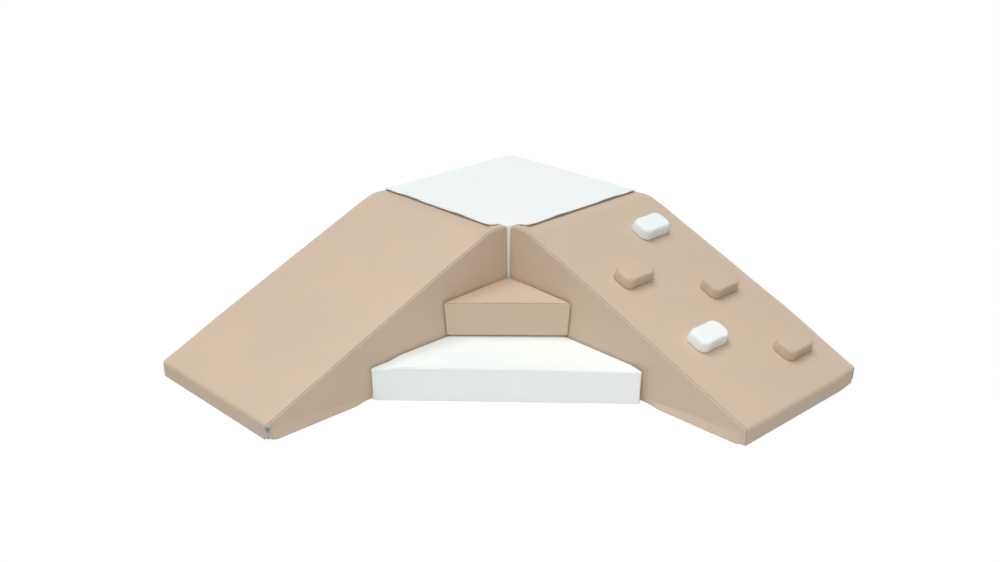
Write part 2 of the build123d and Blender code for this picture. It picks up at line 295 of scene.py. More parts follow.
@dataclass
class Nodes:
    """A material's node tree, with short ways to add the nodes that the finishes share."""

    tree: bpy.types.NodeTree
    shader: bpy.types.Node = field(init=False)
    coordinates: Socket = field(init=False)

    def __post_init__(self) -> None:
        """Finds the surface's shader and starts from the object's own coordinates."""
        self.shader = self.tree.nodes["Principled BSDF"]
        self.coordinates = self.add("ShaderNodeTexCoord").outputs["Object"]

    def add(self, kind: str, **settings: object) -> bpy.types.Node:
        """Adds a node and sets its properties.

        Args:
            kind: Blender's name for the node.
            **settings: Properties to set on it.

        Returns:
            The node.
        """
        node = self.tree.nodes.new(kind)
        for name, value in settings.items():
            setattr(node, name, value)
        return node

    def feed(self, node: bpy.types.Node, **inputs: object) -> bpy.types.Node:
        """Fills a node's inputs, by link where a socket is given and by value otherwise.

        Args:
            node: The node.
            **inputs: Input names, with underscores for spaces, and what goes in.

        Returns:
            The same node.
        """
        for name, value in inputs.items():
            self.fill(node.inputs[name.replace("_", " ")], value)
        return node

    def fill(self, socket: Socket, value: object) -> None:
        """Links an input to a socket, or gives it a plain value.

        Args:
            socket: The input.
            value: What goes in.
        """
        if isinstance(value, Socket):
            self.tree.links.new(value, socket)
        else:
            socket.default_value = value

    def noise(
        self, scale: float, detail: float = 2.0, stretch: Place | None = None,
    ) -> Socket:
        """A cloud of values about one half, its scale in features per metre.

        Args:
            scale: Features per metre.
            detail: How many finer layers lie over the first.
            stretch: Scales along X, Y and Z, or None for an even cloud.

        Returns:
            The result's socket.
        """
        source = self.coordinates
        if stretch is not None:
            mapping = self.feed(self.add("ShaderNodeMapping"), Vector=source, Scale=stretch)
            source = mapping.outputs["Vector"]
        node = self.feed(self.add("ShaderNodeTexNoise"), Vector=source, Scale=scale, Detail=detail)
        return node.outputs["Fac"]

    def cells(self, scale: float) -> Socket:
        """Rounded pebbles, as distances from scattered points."""
        node = self.add("ShaderNodeTexVoronoi", feature="SMOOTH_F1")
        return self.feed(node, Vector=self.coordinates, Scale=scale).outputs["Distance"]

    def ranged(
        self, value: Socket, low: float, high: float, to_low: float, to_high: float,
    ) -> Socket:
        """Maps one span of a value onto another, held at both ends.

        Args:
            value: What is mapped.
            low: Where its span starts.
            high: Where its span ends.
            to_low: What the start becomes.
            to_high: What the end becomes.

        Returns:
            The result's socket.
        """
        node = self.feed(self.add("ShaderNodeMapRange"), Value=value)
        for place, number in zip((1, 2, 3, 4), (low, high, to_low, to_high)):
            node.inputs[place].default_value = number
        return node.outputs["Result"]

    def attribute(self, name: str) -> Socket:
        """The mesh's own attribute of that name."""
        return self.add("ShaderNodeAttribute", attribute_name=name).outputs["Fac"]

    def math(self, operation: str, first: object, second: object) -> Socket:
        """The result of a sum, product or the like of two values.

        Args:
            operation: Blender's name for what is done.
            first: A socket or a number.
            second: A socket or a number.

        Returns:
            The result's socket.
        """
        node = self.add("ShaderNodeMath", operation=operation)
        for place, value in enumerate((first, second)):
            self.fill(node.inputs[place], value)
        return node.outputs["Value"]

    def mixed(self, share: Socket, first: object, second: object) -> Socket:
        """A blend of two colours.

        Args:
            share: How much of the second colour there is.
            first: The colour at 0.
            second: The colour at 1.

        Returns:
            The result's socket.
        """
        node = self.add("ShaderNodeMix", data_type="RGBA")
        for place, value in ((0, share), (6, first), (7, second)):
            self.fill(node.inputs[place], value)
        return node.outputs[2]

    def bump(
        self, height: Socket, distance: float, strength: float = 1.0,
        under: Socket | None = None,
    ) -> Socket:
        """Turns a height into a shaded relief of a real depth, over another relief if one is given.

        Args:
            height: The height, from 0 to 1.
            distance: How deep the relief is.
            strength: How much of it shows.
            under: Another relief that lies below, or None.

        Returns:
            The normal's socket.
        """
        node = self.feed(self.add("ShaderNodeBump"), Height=height, Distance=distance, Strength=strength)
        if under is not None:
            self.feed(node, Normal=under)
        return node.outputs["Normal"]


def shade(colour: Colour, factor: float, warmth: float = 0.0) -> tuple[float, ...]:
    """A colour made lighter or darker, and warmer or cooler, as red, green, blue and one."""
    red, green, blue = colour
    return (red * factor * (1.0 + warmth), green * factor, blue * factor * (1.0 - warmth), 1.0)


@dataclass(frozen=True)
class Finish:
    """What a surface is made of."""

    name: str
    colour: Colour
    roughness: float = 0.5
    specular: float = 0.35

    def material(self) -> bpy.types.Material:
        """The Blender material, made once and shared after that.

        Returns:
            The material.
        """
        found = bpy.data.materials.get(self.name)
        if found is not None:
            return found
        made = bpy.data.materials.new(self.name)
        made.use_nodes = True
        nodes = Nodes(made.node_tree)
        nodes.feed(nodes.shader, Specular_IOR_Level=self.specular, Roughness=self.roughness)
        self.dress(nodes)
        return made

    def dress(self, nodes: Nodes) -> None:
        """Links colour, roughness and relief. Each kind of finish has its own.

        Args:
            nodes: The material's nodes.
        """
        raise NotImplementedError


@dataclass(frozen=True)
class Leather(Finish):
    """Soft PU cover: a fine pebbled grain, slow slackness in the cloth and puckers by the seams."""

    roughness: float = 0.52
    mottle: float = 0.008
    mottle_scale: float = 4.5
    grain_size: float = 0.0011
    grain_depth: float = 0.00006
    slack_size: float = 0.09
    slack_depth: float = 0.0011
    pucker_length: float = 0.011
    pucker_depth: float = 0.0006
    pucker_reach: float = 0.016
    # Darkening by the seams: the joint's own darker thread and dirt, together with painted shade in the
    # groove.
    seam_width: float = 0.0015
    seam_dirt_and_shade: float = 0.52
    rub_scale: float = 26.0
    rub: Pair = (0.05, 0.06)

    def dress(self, nodes: Nodes) -> None:
        """Colour drifts a little, darkens in the seams with the joint's own darker thread and dirt and with
        painted shade in the groove, and the relief has three scales.

        Args:
            nodes: The material's nodes.
        """
        drift = nodes.ranged(nodes.noise(self.mottle_scale, 3.0), 0.36, 0.64, 0.0, 1.0)
        cool = shade(self.colour, 1.0 - self.mottle, -self.mottle)
        warm = shade(self.colour, 1.0 + self.mottle, self.mottle)
        colour = nodes.mixed(drift, cool, warm)
        seam = nodes.attribute(SEAM_ATTRIBUTE)
        # Painted shade: the colour darkens near each seam, partly the joint's own darkness and partly shade
        # painted into the groove.
        seam_dirt_and_shade_mask = nodes.ranged(seam, self.seam_width * 0.35, self.seam_width, 1.0, 0.0)
        colour = nodes.mixed(seam_dirt_and_shade_mask, colour, shade(self.colour, self.seam_dirt_and_shade))
        fine = nodes.cells(1.0 / self.grain_size)
        grain = nodes.math("ADD", fine, nodes.noise(2.2 / self.grain_size, 2.0))
        slack = nodes.bump(nodes.noise(1.0 / self.slack_size, 1.0), self.slack_depth)
        near = nodes.ranged(seam, 0.0, self.pucker_reach, 1.0, 0.0)
        pucker = nodes.math("MULTIPLY", nodes.noise(1.0 / self.pucker_length, 1.0), near)
        relief = nodes.bump(pucker, self.pucker_depth, 1.0, slack)
        relief = nodes.bump(grain, self.grain_depth, 0.8, relief)
        low, high = self.roughness - self.rub[0], self.roughness + self.rub[1]
        rough = nodes.ranged(nodes.noise(self.rub_scale, 4.0), 0.3, 0.7, low, high)
        nodes.feed(nodes.shader, Base_Color=colour, Roughness=rough, Normal=relief)


@dataclass(frozen=True)
class Foam(Finish):
    """Cut foam: open pores of two sizes."""

    roughness: float = 0.9
    specular: float = 0.1
    pore_size: float = 0.0012
    pore_depth: float = 0.0006

    def dress(self, nodes: Nodes) -> None:
        """Pores are darker and sunk.

        Args:
            nodes: The material's nodes.
        """
        pores = nodes.ranged(nodes.cells(1.0 / self.pore_size), 0.1, 0.45, 0.0, 1.0)
        colour = nodes.mixed(pores, shade(self.colour, 0.72), shade(self.colour, 1.0))
        large = nodes.bump(nodes.noise(0.3 / self.pore_size, 3.0), self.pore_depth * 2.0)
        nodes.feed(nodes.shader, Base_Color=colour, Normal=nodes.bump(pores, self.pore_depth, 1.0, large))


@dataclass(frozen=True)
class NonSlip(Finish):
    """Non-slip base cloth: raised rubber dots on a plain weave."""

    roughness: float = 0.8
    specular: float = 0.25
    dot_pitch: float = 0.006
    dot_depth: float = 0.0008
    weave_scale: float = 1500.0
    weave_depth: float = 0.0002

    def dress(self, nodes: Nodes) -> None:
        """The dots are a smooth cell pattern, darker than the cloth.

        Args:
            nodes: The material's nodes.
        """
        voronoi = nodes.add("ShaderNodeTexVoronoi", feature="F1")
        nodes.feed(voronoi, Vector=nodes.coordinates, Scale=1.0 / self.dot_pitch, Randomness=0.0)
        dots = nodes.ranged(voronoi.outputs["Distance"], 0.24, 0.32, 1.0, 0.0)
        colour = nodes.mixed(dots, shade(self.colour, 1.35), shade(self.colour, 0.8))
        weave = nodes.bump(nodes.noise(self.weave_scale, 2.0), self.weave_depth)
        nodes.feed(nodes.shader, Base_Color=colour, Normal=nodes.bump(dots, self.dot_depth, 1.0, weave))


@dataclass(frozen=True)
class Tape(Finish):
    """Woven or piled tape: fine threads across it, with a little fuzz."""

    roughness: float = 0.85
    specular: float = 0.2
    thread_size: float = 0.0007
    thread_depth: float = 0.00025

    def dress(self, nodes: Nodes) -> None:
        """Threads show as a stretched noise in colour and relief.

        Args:
            nodes: The material's nodes.
        """
        threads = nodes.noise(1.0 / self.thread_size, 2.0, (1.0, 1.0, 0.35))
        colour = nodes.mixed(threads, shade(self.colour, 0.8), shade(self.colour, 1.12))
        nodes.feed(nodes.shader, Base_Color=colour, Normal=nodes.bump(threads, self.thread_depth))


@dataclass(frozen=True)
class Plastic(Finish):
    """Moulded plastic with a faint orange-peel skin and rubbed high spots."""

    roughness: float = 0.38
    specular: float = 0.5
    wear_scale: float = 320.0
    rub_scale: float = 900.0
    rub: Pair = (0.06, 0.1)
    skin_scale: float = 1400.0
    skin_depth: float = 0.00008

    def dress(self, nodes: Nodes) -> None:
        """Wear lightens the colour in patches.

        Args:
            nodes: The material's nodes.
        """
        wear = nodes.ranged(nodes.noise(self.wear_scale, 3.0), 0.45, 0.7, 0.0, 1.0)
        colour = nodes.mixed(wear, shade(self.colour, 1.0), shade(self.colour, 1.25))
        low, high = self.roughness - self.rub[0], self.roughness + self.rub[1]
        rough = nodes.ranged(nodes.noise(self.rub_scale, 2.0), 0.3, 0.7, low, high)
        skin = nodes.bump(nodes.noise(self.skin_scale), self.skin_depth)
        nodes.feed(nodes.shader, Base_Color=colour, Roughness=rough, Normal=skin)


@dataclass(frozen=True)
class Thread(Finish):
    """Polyester sewing thread: a twist of two plies."""

    roughness: float = 0.6
    ply_scale: float = 3200.0
    ply_depth: float = 0.0001

    def dress(self, nodes: Nodes) -> None:
        """The plies are a fine noise in colour and relief.

        Args:
            nodes: The material's nodes.
        """
        plies = nodes.noise(self.ply_scale, 1.0)
        colour = nodes.mixed(plies, shade(self.colour, 0.82), shade(self.colour, 1.08))
        nodes.feed(nodes.shader, Base_Color=colour, Normal=nodes.bump(plies, self.ply_depth))


@dataclass(frozen=True)
class Palette:
    """Every finish on the set."""

    white: Finish = Leather("white_leather", Tint.WHITE.value)
    beige: Finish = Leather("beige_leather", Tint.BEIGE.value)
    foam: Finish = Foam("cut_foam", (0.80, 0.76, 0.66))
    base: Finish = NonSlip("non_slip_cloth", (0.16, 0.15, 0.14))
    tape: Finish = Tape("grey_zip_tape", (0.60, 0.61, 0.58))
    grip: Finish = Tape("grip_tape", (0.72, 0.71, 0.68), thread_size=0.0012, thread_depth=0.0006)
    zip: Finish = Plastic("grey_zip_plastic", (0.23, 0.28, 0.28))
    pull: Finish = Plastic("light_zip_plastic", (0.42, 0.46, 0.46))
    white_thread: Finish = Thread("white_thread", (0.85, 0.86, 0.84))
    beige_thread: Finish = Thread("beige_thread", (0.60, 0.47, 0.36))

    def cover(self, tint: Tint) -> Finish:
        """The leather of that colour."""
        return self.white if tint is Tint.WHITE else self.beige

    def thread(self, tint: Tint) -> Finish:
        """The thread that matches that leather."""
        return self.white_thread if tint is Tint.WHITE else self.beige_thread


PALETTE = Palette()


# Sewn blocks


@dataclass
class Outline:
    """A closed outline with rounded corners, drawn anticlockwise, and how it draws in.

    Each corner is an arc that touches both sides. A point moves in along its mitre: at a corner that
    is the vector whose part square to either side is one, and along a side it changes evenly from
    one corner's to the next. So an outline drawn in by a distance keeps its corners' radii and lies
    exactly that distance inside every side. A short side vanishes at some inset, and past it the
    arcs at both its ends move along the mitre of the one corner that is left.
    """

    corners: Array
    radii: Array
    stops: list[Array]
    arc_steps: int = 7
    short_side: int | None = None
    left_share: float = 0.03
    vanish_inset: float = field(init=False, default=math.inf)
    points: Array = field(init=False)
    mitres: Array = field(init=False)
    far_mitres: Array = field(init=False)
    zone: Array = field(init=False)

    def __post_init__(self) -> None:
        """Works out the columns: an arc at each corner, then the stops along the side after it.

        A column's zone is its corner's number, or half a number more on the side after that corner.
        """
        ahead = np.roll(self.corners, -1, axis=0) - self.corners
        lengths = np.linalg.norm(ahead, axis=1)
        direction = ahead / lengths[:, None]
        before = np.roll(direction, 1, axis=0)
        inward = np.stack([-direction[:, 1], direction[:, 0]], axis=1)
        inward_before = np.roll(inward, 1, axis=0)
        dots = np.sum(inward * inward_before, axis=1)
        mitre = (inward + inward_before) / (1.0 + dots)[:, None]
        turn = np.arccos(np.clip(np.sum(direction * before, axis=1), -1.0, 1.0))
        set_back = self.radii * np.tan(turn / 2.0)
        far = mitre.copy()
        if self.short_side is not None:
            ends = [self.short_side, (self.short_side + 1) % len(self.corners)]
            straight = lengths[ends[0]] - set_back[ends].sum()
            self.vanish_inset = float(straight * (1.0 - self.left_share) / np.tan(turn[ends] / 2.0).sum())
            pair = inward[[ends[0] - 1, ends[1]]]
            far[ends] = pair.sum(axis=0) / (1.0 + pair[0] @ pair[1])
        columns = []
        for number in range(len(self.corners)):
            following = (number + 1) % len(self.corners)
            centre = self.corners[number] + mitre[number] * self.radii[number]
            start = math.atan2(-inward_before[number, 1], -inward_before[number, 0])
            angles = start + turn[number] * np.linspace(0.0, 1.0, self.arc_steps + 1)
            arc = centre + self.radii[number] * np.stack([np.cos(angles), np.sin(angles)], axis=1)
            held = [np.repeat(way[number][None], len(arc), axis=0) for way in (mitre, far)]
            columns.append((arc, *held, np.full(len(arc), float(number))))
            first, last = set_back[number], lengths[number] - set_back[following]
            stops = self.stops[number]
            stops = stops[(stops > first + SMALLEST_STEP) & (stops < last - SMALLEST_STEP)]
            share = ((stops - first) / (last - first))[:, None]
            side = self.corners[number] + stops[:, None] * direction[number]
            changing = [way[number] * (1.0 - share) + way[following] * share for way in (mitre, far)]
            columns.append((side, *changing, np.full(len(stops), number + 0.5)))
        self.points, self.mitres, self.far_mitres, self.zone = map(np.concatenate, zip(*columns))

    def rows(self, inset: Array, reach: Array, centre: Array) -> Array:
        """The outline at each row: drawn in by the inset, then shrunk to a share about the centre.

        Args:
            inset: How far each row is drawn in.
            reach: Each row's share, 1 on the outline and 0 at the centre.
            centre: The point that the lids close on.

        Returns:
            An array of rows by columns by 2.
        """
        near = np.minimum(inset, self.vanish_inset)[:, None, None]
        beyond = inset[:, None, None] - near
        drawn = self.points[None] + near * self.mitres[None] + beyond * self.far_mitres[None]
        return centre + reach[:, None, None] * (drawn - centre)


@dataclass
class Section:
    """The row values of a block: from the middle of its low lid, out and up its wall, to the middle
    of its high lid.

    Each row has an inset and a height. Over the rounded edges they follow a quarter circle. The
    lean is 0 on the wall and goes to -1 or 1 over the edges, and reach falls to 0 over the lids. The
    seam lies on the edge where it has turned from the wall by the seam's turn, in degrees.
    """

    low: float
    high: float
    edge_radius: float
    wall_stops: Array
    lid_insets: Array
    lid_shares: Array
    seam_offsets: Array
    low_edge_radius: float | None = None
    low_open: float | None = None
    seam_turn: float = 45.0

    def edge(self, radius: float) -> tuple[Array, Array, Array]:
        """A quarter round from the lid to the wall.

        Args:
            radius: The edge's radius.

        Returns:
            The inset, the drop below the lid and the angle from the wall of each row.
        """
        seam = math.radians(self.seam_turn)
        past = np.where(self.seam_offsets > 0.0, math.pi / 2.0 - seam, seam)
        angles = seam + past * self.seam_offsets
        return radius * (1.0 - np.cos(angles)), radius * (1.0 - np.sin(angles)), angles

    def lid(self, height: float, inwards: float, radius: float, opening: float | None) -> dict[str, Array]:
        """The rows from the lid's middle, or its opening's rim, out to the start of the wall.

        Args:
            height: The lid's height.
            inwards: The way from the lid into the block: 1 for the low lid and -1 for the high one.
            radius: The edge's radius.
            opening: Inset of the opening's rim, or None for a closed lid.

        Returns:
            The row values, by name.
        """
        flat = self.lid_insets[self.lid_insets > radius]
        if opening is not None:
            flat = np.append(flat[flat < opening - SMALLEST_STEP], opening)
        flat = np.sort(flat)[::-1]
        shares = self.lid_shares[:-1] if opening is None else np.zeros(0)
        inset, drop, angles = self.edge(radius)
        level = len(shares) + len(flat)
        return {
            "inset": np.concatenate([np.full(len(shares), flat[0]), flat, inset[::-1]]),
            "height": np.concatenate([np.full(level, height), height + inwards * drop[::-1]]),
            "reach": np.concatenate([shares, np.ones(len(flat) + len(inset))]),
            "lean": -inwards * np.concatenate([np.ones(level), np.sin(angles[::-1])]),
        }

    def rows(self) -> dict[str, Array]:
        """All rows from low to high, with each row's distance from the nearer seam.

        Returns:
            The row values, by name.
        """
        low_radius = self.edge_radius if self.low_edge_radius is None else self.low_edge_radius
        low = self.lid(self.low, 1.0, low_radius, self.low_open)
        high = self.lid(self.high, -1.0, self.edge_radius, None)
        first, last = self.low + low_radius, self.high - self.edge_radius
        stops = self.wall_stops
        stops = stops[(stops > first + SMALLEST_STEP) & (stops < last - SMALLEST_STEP)]
        none = np.zeros(len(stops))
        wall = {"inset": none, "height": stops, "reach": none + 1.0, "lean": none}
        rows = {name: np.concatenate([low[name], wall[name], high[name][::-1]]) for name in wall}
        steps = np.hypot(np.diff(rows["inset"]), np.diff(rows["height"]))
        along = np.concatenate([[0.0], np.cumsum(steps)])
        turned = math.sin(math.radians(self.seam_turn))
        on_edge = [np.argmin(np.abs(rows["lean"] - side * turned)) for side in (-1.0, 1.0)]
        rows["from_low_seam"] = along - along[on_edge[0]]
        rows["from_high_seam"] = along[on_edge[1]] - along
        return rows


# Row places over an edge, as shares of the arc on either side of its seam, closer together by it
SEAM_ROW_SHARES = np.array([
    -1.0, -0.78, -0.58, -0.40, -0.27, -0.17, -0.09, 0.0,
    0.09, 0.17, 0.27, 0.40, 0.58, 0.78, 1.0,
])
PLAIN_ROW_SHARES = np.array([-1.0, -0.6, -0.2, 0.2, 0.6, 1.0])
LID_SHARES = np.array([0.0, 0.06, 0.14, 0.24, 0.34, 0.44, 0.54, 0.64, 0.73, 0.81, 0.88, 0.94, 1.0])
RAMP_LID_SHARES = np.array([
    0.0, 0.12, 0.24, 0.36, 0.47, 0.57, 0.66, 0.74, 0.81,
    0.87, 0.91, 0.935, 0.955, 0.97, 0.98, 0.99, 1.0,
])
PLAIN_LID_SHARES = np.array([0.0, 0.5, 1.0])

# Insets of the first rows on an upright block's lids, past its edge
LID_ROW_INSETS = (0.0095, 0.0112, 0.0155, 0.019)


@dataclass(frozen=True)
class Seam:
    """A sewn edge: a narrow groove with a full lip on each side."""

    groove_depth: float = 0.0016
    groove_width: float = 0.0010
    lip_height: float = 0.0008
    lip_place: float = 0.0028
    lip_width: float = 0.0017
    reach: float = 0.007

    def lift(self, distance: Array) -> Array:
        """How far the skin stands proud at a distance from the seam: two bells less a narrow one.

        Args:
            distance: Signed distances from the seam.

        Returns:
            Heights above the plain rounded edge.
        """
        before = swell(distance - self.lip_place, self.lip_width)
        lips = before + swell(distance + self.lip_place, self.lip_width)
        return self.lip_height * lips - self.groove_depth * swell(distance, self.groove_width)


@dataclass
class Skin:
    """A grid of points wrapped round a block: rows from lid to lid, columns round the outline."""

    points: Array
    rows: dict[str, Array]
    closed_low: bool
    closed_high: bool

    def normals(self) -> Array:
        """Outward directions: the cross product of the differences along rows and columns.

        Returns:
            One unit vector per grid point.
        """
        across = np.roll(self.points, -1, axis=1) - np.roll(self.points, 1, axis=1)
        along = np.gradient(self.points, axis=0)
        found = np.cross(across, along)
        size = np.linalg.norm(found, axis=2, keepdims=True)
        found = found / np.maximum(size, 1e-12)
        outwards = np.sum(found * (self.points - self.points.mean(axis=(0, 1))))
        return found if outwards > 0.0 else -found

    def sew(self, seam: Seam, low: Array, high: Array) -> None:
        """Presses the seams into the rounded edges.

        Args:
            seam: The seam's shape.
            low: A weight per column for the low edge's seam, 1 where it is sewn.
            high: The same for the high edge's seam.
        """
        normals = self.normals()
        for name, weight in (("from_low_seam", low), ("from_high_seam", high)):
            distance = self.rows[name]
            near = (np.abs(distance) < seam.reach) & self.unshrunk()
            lift = np.where(near, seam.lift(distance), 0.0)
            self.points = self.points + normals * (lift[:, None] * weight[None])[..., None]

    def seam_path(self) -> tuple[Array, Array]:
        """The high seam's row as a closed path, with the outward direction at each point.

        Returns:
            The path's points and their directions, the first of each repeated at the end.
        """
        row = int(np.argmin(np.abs(self.rows["from_high_seam"])))
        path, up = self.points[row], self.normals()[row]
        return np.concatenate([path, path[:1]]), np.concatenate([up, up[:1]])

    def seam_distance(self, low: Array, high: Array) -> Array:
        """Each point's distance from the nearest seam, for the finish.

        Args:
            low: A weight per column for the low edge's seam, 1 where it is sewn.
            high: The same for the high edge's seam.

        Returns:
            One distance per grid point.
        """
        found = self.no_seam()
        for name, weight in (("from_low_seam", low), ("from_high_seam", high)):
            distance = np.where(self.unshrunk(), np.abs(self.rows[name]), FAR_FROM_SEAM)
            found = np.minimum(found, np.where(weight[None] > 0.5, distance[:, None], FAR_FROM_SEAM))
        return found

    def no_seam(self) -> Array:
        """Seam distances for a skin without seams."""
        return np.full(self.points.shape[:2], FAR_FROM_SEAM)

    def unshrunk(self) -> Array:
        """Which rows lie outside the part of a lid that shrinks to its middle."""
        return self.rows["reach"] > 0.999

    def cell_middles(self) -> Array:
        """The middle of each cell of the grid: the mean of its four points."""
        ahead = np.roll(self.points, -1, axis=1)
        return (self.points[:-1] + self.points[1:] + ahead[:-1] + ahead[1:]) / 4.0

    def build(
        self, name: str, finish: Finish, seam_distance: Array, keep: Array | None = None,
    ) -> Piece:
        """Makes the object, closing each closed lid on its middle point.

        Args:
            name: The object's name.
            finish: What it is made of.
            seam_distance: Each grid point's distance from the nearest seam.
            keep: Which cells of the grid are there, or None for all.

        Returns:
            The object.
        """
        count, columns = self.points.shape[:2]
        first, last = (1 if self.closed_low else 0), (count - 1 if self.closed_high else count)
        grid = np.arange(count * columns).reshape(count, columns)
        body = grid[first:last]
        ahead = np.roll(body, -1, axis=1)
        quads = np.stack([body[:-1], ahead[:-1], ahead[1:], body[1:]], axis=-1)
        cells = np.ones(quads.shape[:2], dtype=bool) if keep is None else keep[first:last - 1]
        faces = [quads[cells]]
        if self.closed_low:
            faces.append(np.stack([np.full(columns, grid[0, 0]), np.roll(grid[1], -1), grid[1]], axis=-1))
        if self.closed_high:
            faces.append(np.stack([np.full(columns, grid[-1, 0]), grid[-2], np.roll(grid[-2], -1)], axis=-1))
        used = np.unique(np.concatenate([block.ravel() for block in faces]))
        renumber = np.zeros(count * columns, dtype=np.int64)
        renumber[used] = np.arange(len(used))
        points = self.points.reshape(-1, 3)[used]
        made = new_object(name, points, [renumber[block] for block in faces], finish)
        set_attribute(made, SEAM_ATTRIBUTE, seam_distance.ravel()[used])
        return made


def at_lengths(wanted: Array, length: Array, values: Array) -> Array:
    """Values along a path, read evenly between its points at the wanted lengths.

    Args:
        wanted: Lengths along the path.
        length: The length at each of its points.
        values: X, Y and Z at each of its points.

    Returns:
        X, Y and Z at each wanted length.
    """
    return np.stack([np.interp(wanted, length, values[:, axis]) for axis in range(3)], axis=1)


@dataclass(frozen=True)
class Stitching:
    """A row of short stitches along a seam."""

    pitch: float = 0.0048
    length: float = 0.0034
    radius: float = 0.00042
    sides: int = 5

    def template(self) -> tuple[Array, Array]:
        """One stitch: a thread that dips at both ends, as rings of a few points along X.

        Returns:
            Its points and its faces.
        """
        share = np.array([-1.0, -0.75, 0.0, 0.75, 1.0])
        size = self.radius * np.array([0.25, 0.9, 1.0, 0.9, 0.25])
        height = self.radius * np.array([-1.6, -0.5, 0.35, -0.5, -1.6])
        angles = 2.0 * math.pi * np.arange(self.sides) / self.sides
        x = np.repeat((share * self.length / 2.0)[:, None], self.sides, axis=1)
        y = size[:, None] * np.cos(angles)[None]
        z = size[:, None] * np.sin(angles)[None] + height[:, None]
        grid = np.arange(len(share) * self.sides).reshape(len(share), self.sides)
        ahead = np.roll(grid, -1, axis=1)
        walls = np.stack([grid[:-1], ahead[:-1], ahead[1:], grid[1:]], axis=-1).reshape(-1, 4)
        return np.stack([x, y, z], axis=-1).reshape(-1, 3), walls

    def along(self, name: str, path: Array, up: Array, finish: Finish) -> Piece:
        """Repeats the stitch along a path.

        Args:
            name: The object's name.
            path: Points along the seam, in the set's frame.
            up: The outward direction at each.
            finish: The thread.

        Returns:
            The object.
        """
        steps = np.linalg.norm(np.diff(path, axis=0), axis=1)
        length = np.concatenate([[0.0], np.cumsum(steps)])
        at = np.arange(self.pitch, length[-1] - self.pitch, self.pitch)
        half = self.length / 2.0
        middle, rise = at_lengths(at, length, path), at_lengths(at, length, up)
        forward = at_lengths(at + half, length, path) - at_lengths(at - half, length, path)
        forward /= np.linalg.norm(forward, axis=1, keepdims=True)
        side = np.cross(rise, forward)
        side /= np.linalg.norm(side, axis=1, keepdims=True)
        rise = np.cross(forward, side)
        points, walls = self.template()
        placed = (
            middle[:, None] + points[None, :, 0:1] * forward[:, None]
            + points[None, :, 1:2] * side[:, None] + points[None, :, 2:3] * rise[:, None]
        )
        faces = (walls[None] + (np.arange(len(at)) * len(points))[:, None, None]).reshape(-1, 4)
        return new_object(name, placed.reshape(-1, 3), [faces], finish)


def seat(piece: Piece, body: str, slot: str, *nodes: str) -> None:
    """Seats a finished piece on its body and hides the nodes that it stands for.

    Args:
        piece: The object.
        body: The body that it rides on.
        slot: The record's material slot. Not used.
        *nodes: CAD nodes that it replaces.
    """
    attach(piece, body)
    if nodes:
        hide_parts(*nodes)
    LOG.info("%s: %d faces on %s", piece.name, len(piece.data.polygons), body)


def seat_padded(piece: Piece, body: str, slot: str, node: str) -> None:
    """Seats a cover or a foam, which fills its cover.

    Args:
        piece: The object.
        body: The body that it rides on.
        slot: The record's material slot.
        node: The CAD node that it replaces.
    """
    seat(piece, body, slot, node)


@dataclass(frozen=True)
class Zip:
    """How the zips lie: inset from a block's side, in a groove of this width and depth."""

    inset: float = 0.024
    groove_width: float = 0.022
    end_margin: float = 0.060
    tape_clearance: float = 0.0003
    base_height: float = 0.0055
    stand_height: float = 0.046
    bend_height: float = 0.0095

    @property
    def reach(self) -> float:
        """Half the groove's width."""
        return self.groove_width / 2.0


ZIP = Zip()


@dataclass
class Block:
    """A covered foam block: a sewn cover, the foam in it and the sheet that closes it underneath."""

    name: str
    tint: Tint
    wall: float = 0.0015
    core_clearance: float = 0.0003
    base_margin: float = 0.030
    sheet_clearance: float = 0.0003
    sheet_thickness: float = 0.0015
    sheet_corner_radius: float = 0.012
    sheet_spacing: float = 0.030
    seam: Seam = field(default_factory=Seam)
    stitching: Stitching = field(default_factory=Stitching)

    @property
    def body(self) -> str:
        """The body that the block's pieces ride on."""
        return self.name

    @property
    def slot(self) -> str:
        """The record's slot for the cover."""
        return f"{self.tint.name.lower()}_cover"

    def finish_cover(self, cover: Piece) -> None:
        """Gives the cover its wall and seats it."""
        thicken(cover, self.wall)
        seat_padded(cover, self.body, self.slot, f"{self.name}_cover")

    def stitch(self, label: str, path: Array, up: Array) -> None:
        """Sews a row of stitches along a seam of the cover.

        Args:
            label: What the row is called after the block's name.
            path: Points along the seam, in the set's frame.
            up: The outward direction at each.
        """
        thread = PALETTE.thread(self.tint)
        stitches = self.stitching.along(f"{self.name}_{label}", path, up, thread)
        seat(stitches, self.body, self.slot)

    def finish_foam(self, foam: Piece) -> None:
        """Seats the foam."""
        seat_padded(foam, self.body, "foam", f"{self.name}_foam_core")

    def lay_sheet(self, corners: Array, low: float) -> None:
        """Closes the cover's opening with a thin flat sheet.

        Args:
            corners: The block's plan corners in the set's frame, anticlockwise.
            low: The height that the sheet lies at.
        """
        inset = self.base_margin + self.sheet_clearance
        drawn = drawn_in(corners, np.full(len(corners), inset))
        sides = np.linalg.norm(np.roll(drawn, -1, axis=0) - drawn, axis=1)
        stops = [spaced(float(side), self.sheet_spacing) for side in sides]
        outline = Outline(drawn, np.full(len(drawn), self.sheet_corner_radius), stops)
        edge = self.sheet_thickness / 4.0
        section = Section(
            low, low + self.sheet_thickness, edge, np.zeros(0), np.array([edge * 2.0]),
            PLAIN_LID_SHARES, PLAIN_ROW_SHARES,
        )
        rows = section.rows()
        plan = outline.rows(rows["inset"], rows["reach"], drawn.mean(axis=0))
        skin = Skin(stand_up(plan, rows["height"]), rows, True, True)
        sheet = skin.build(f"{self.name}_underside", PALETTE.base, skin.no_seam())
        seat(sheet, self.body, "base_fabric", f"{self.name}_base_sheet")

    def finish_zip(self, *nodes: str) -> None:
        """Dresses the block's zip as it comes from the frame."""
        for node in nodes:
            finish_cad(node, PALETTE.tape if node.endswith(("tape", "_zip")) else PALETTE.zip)


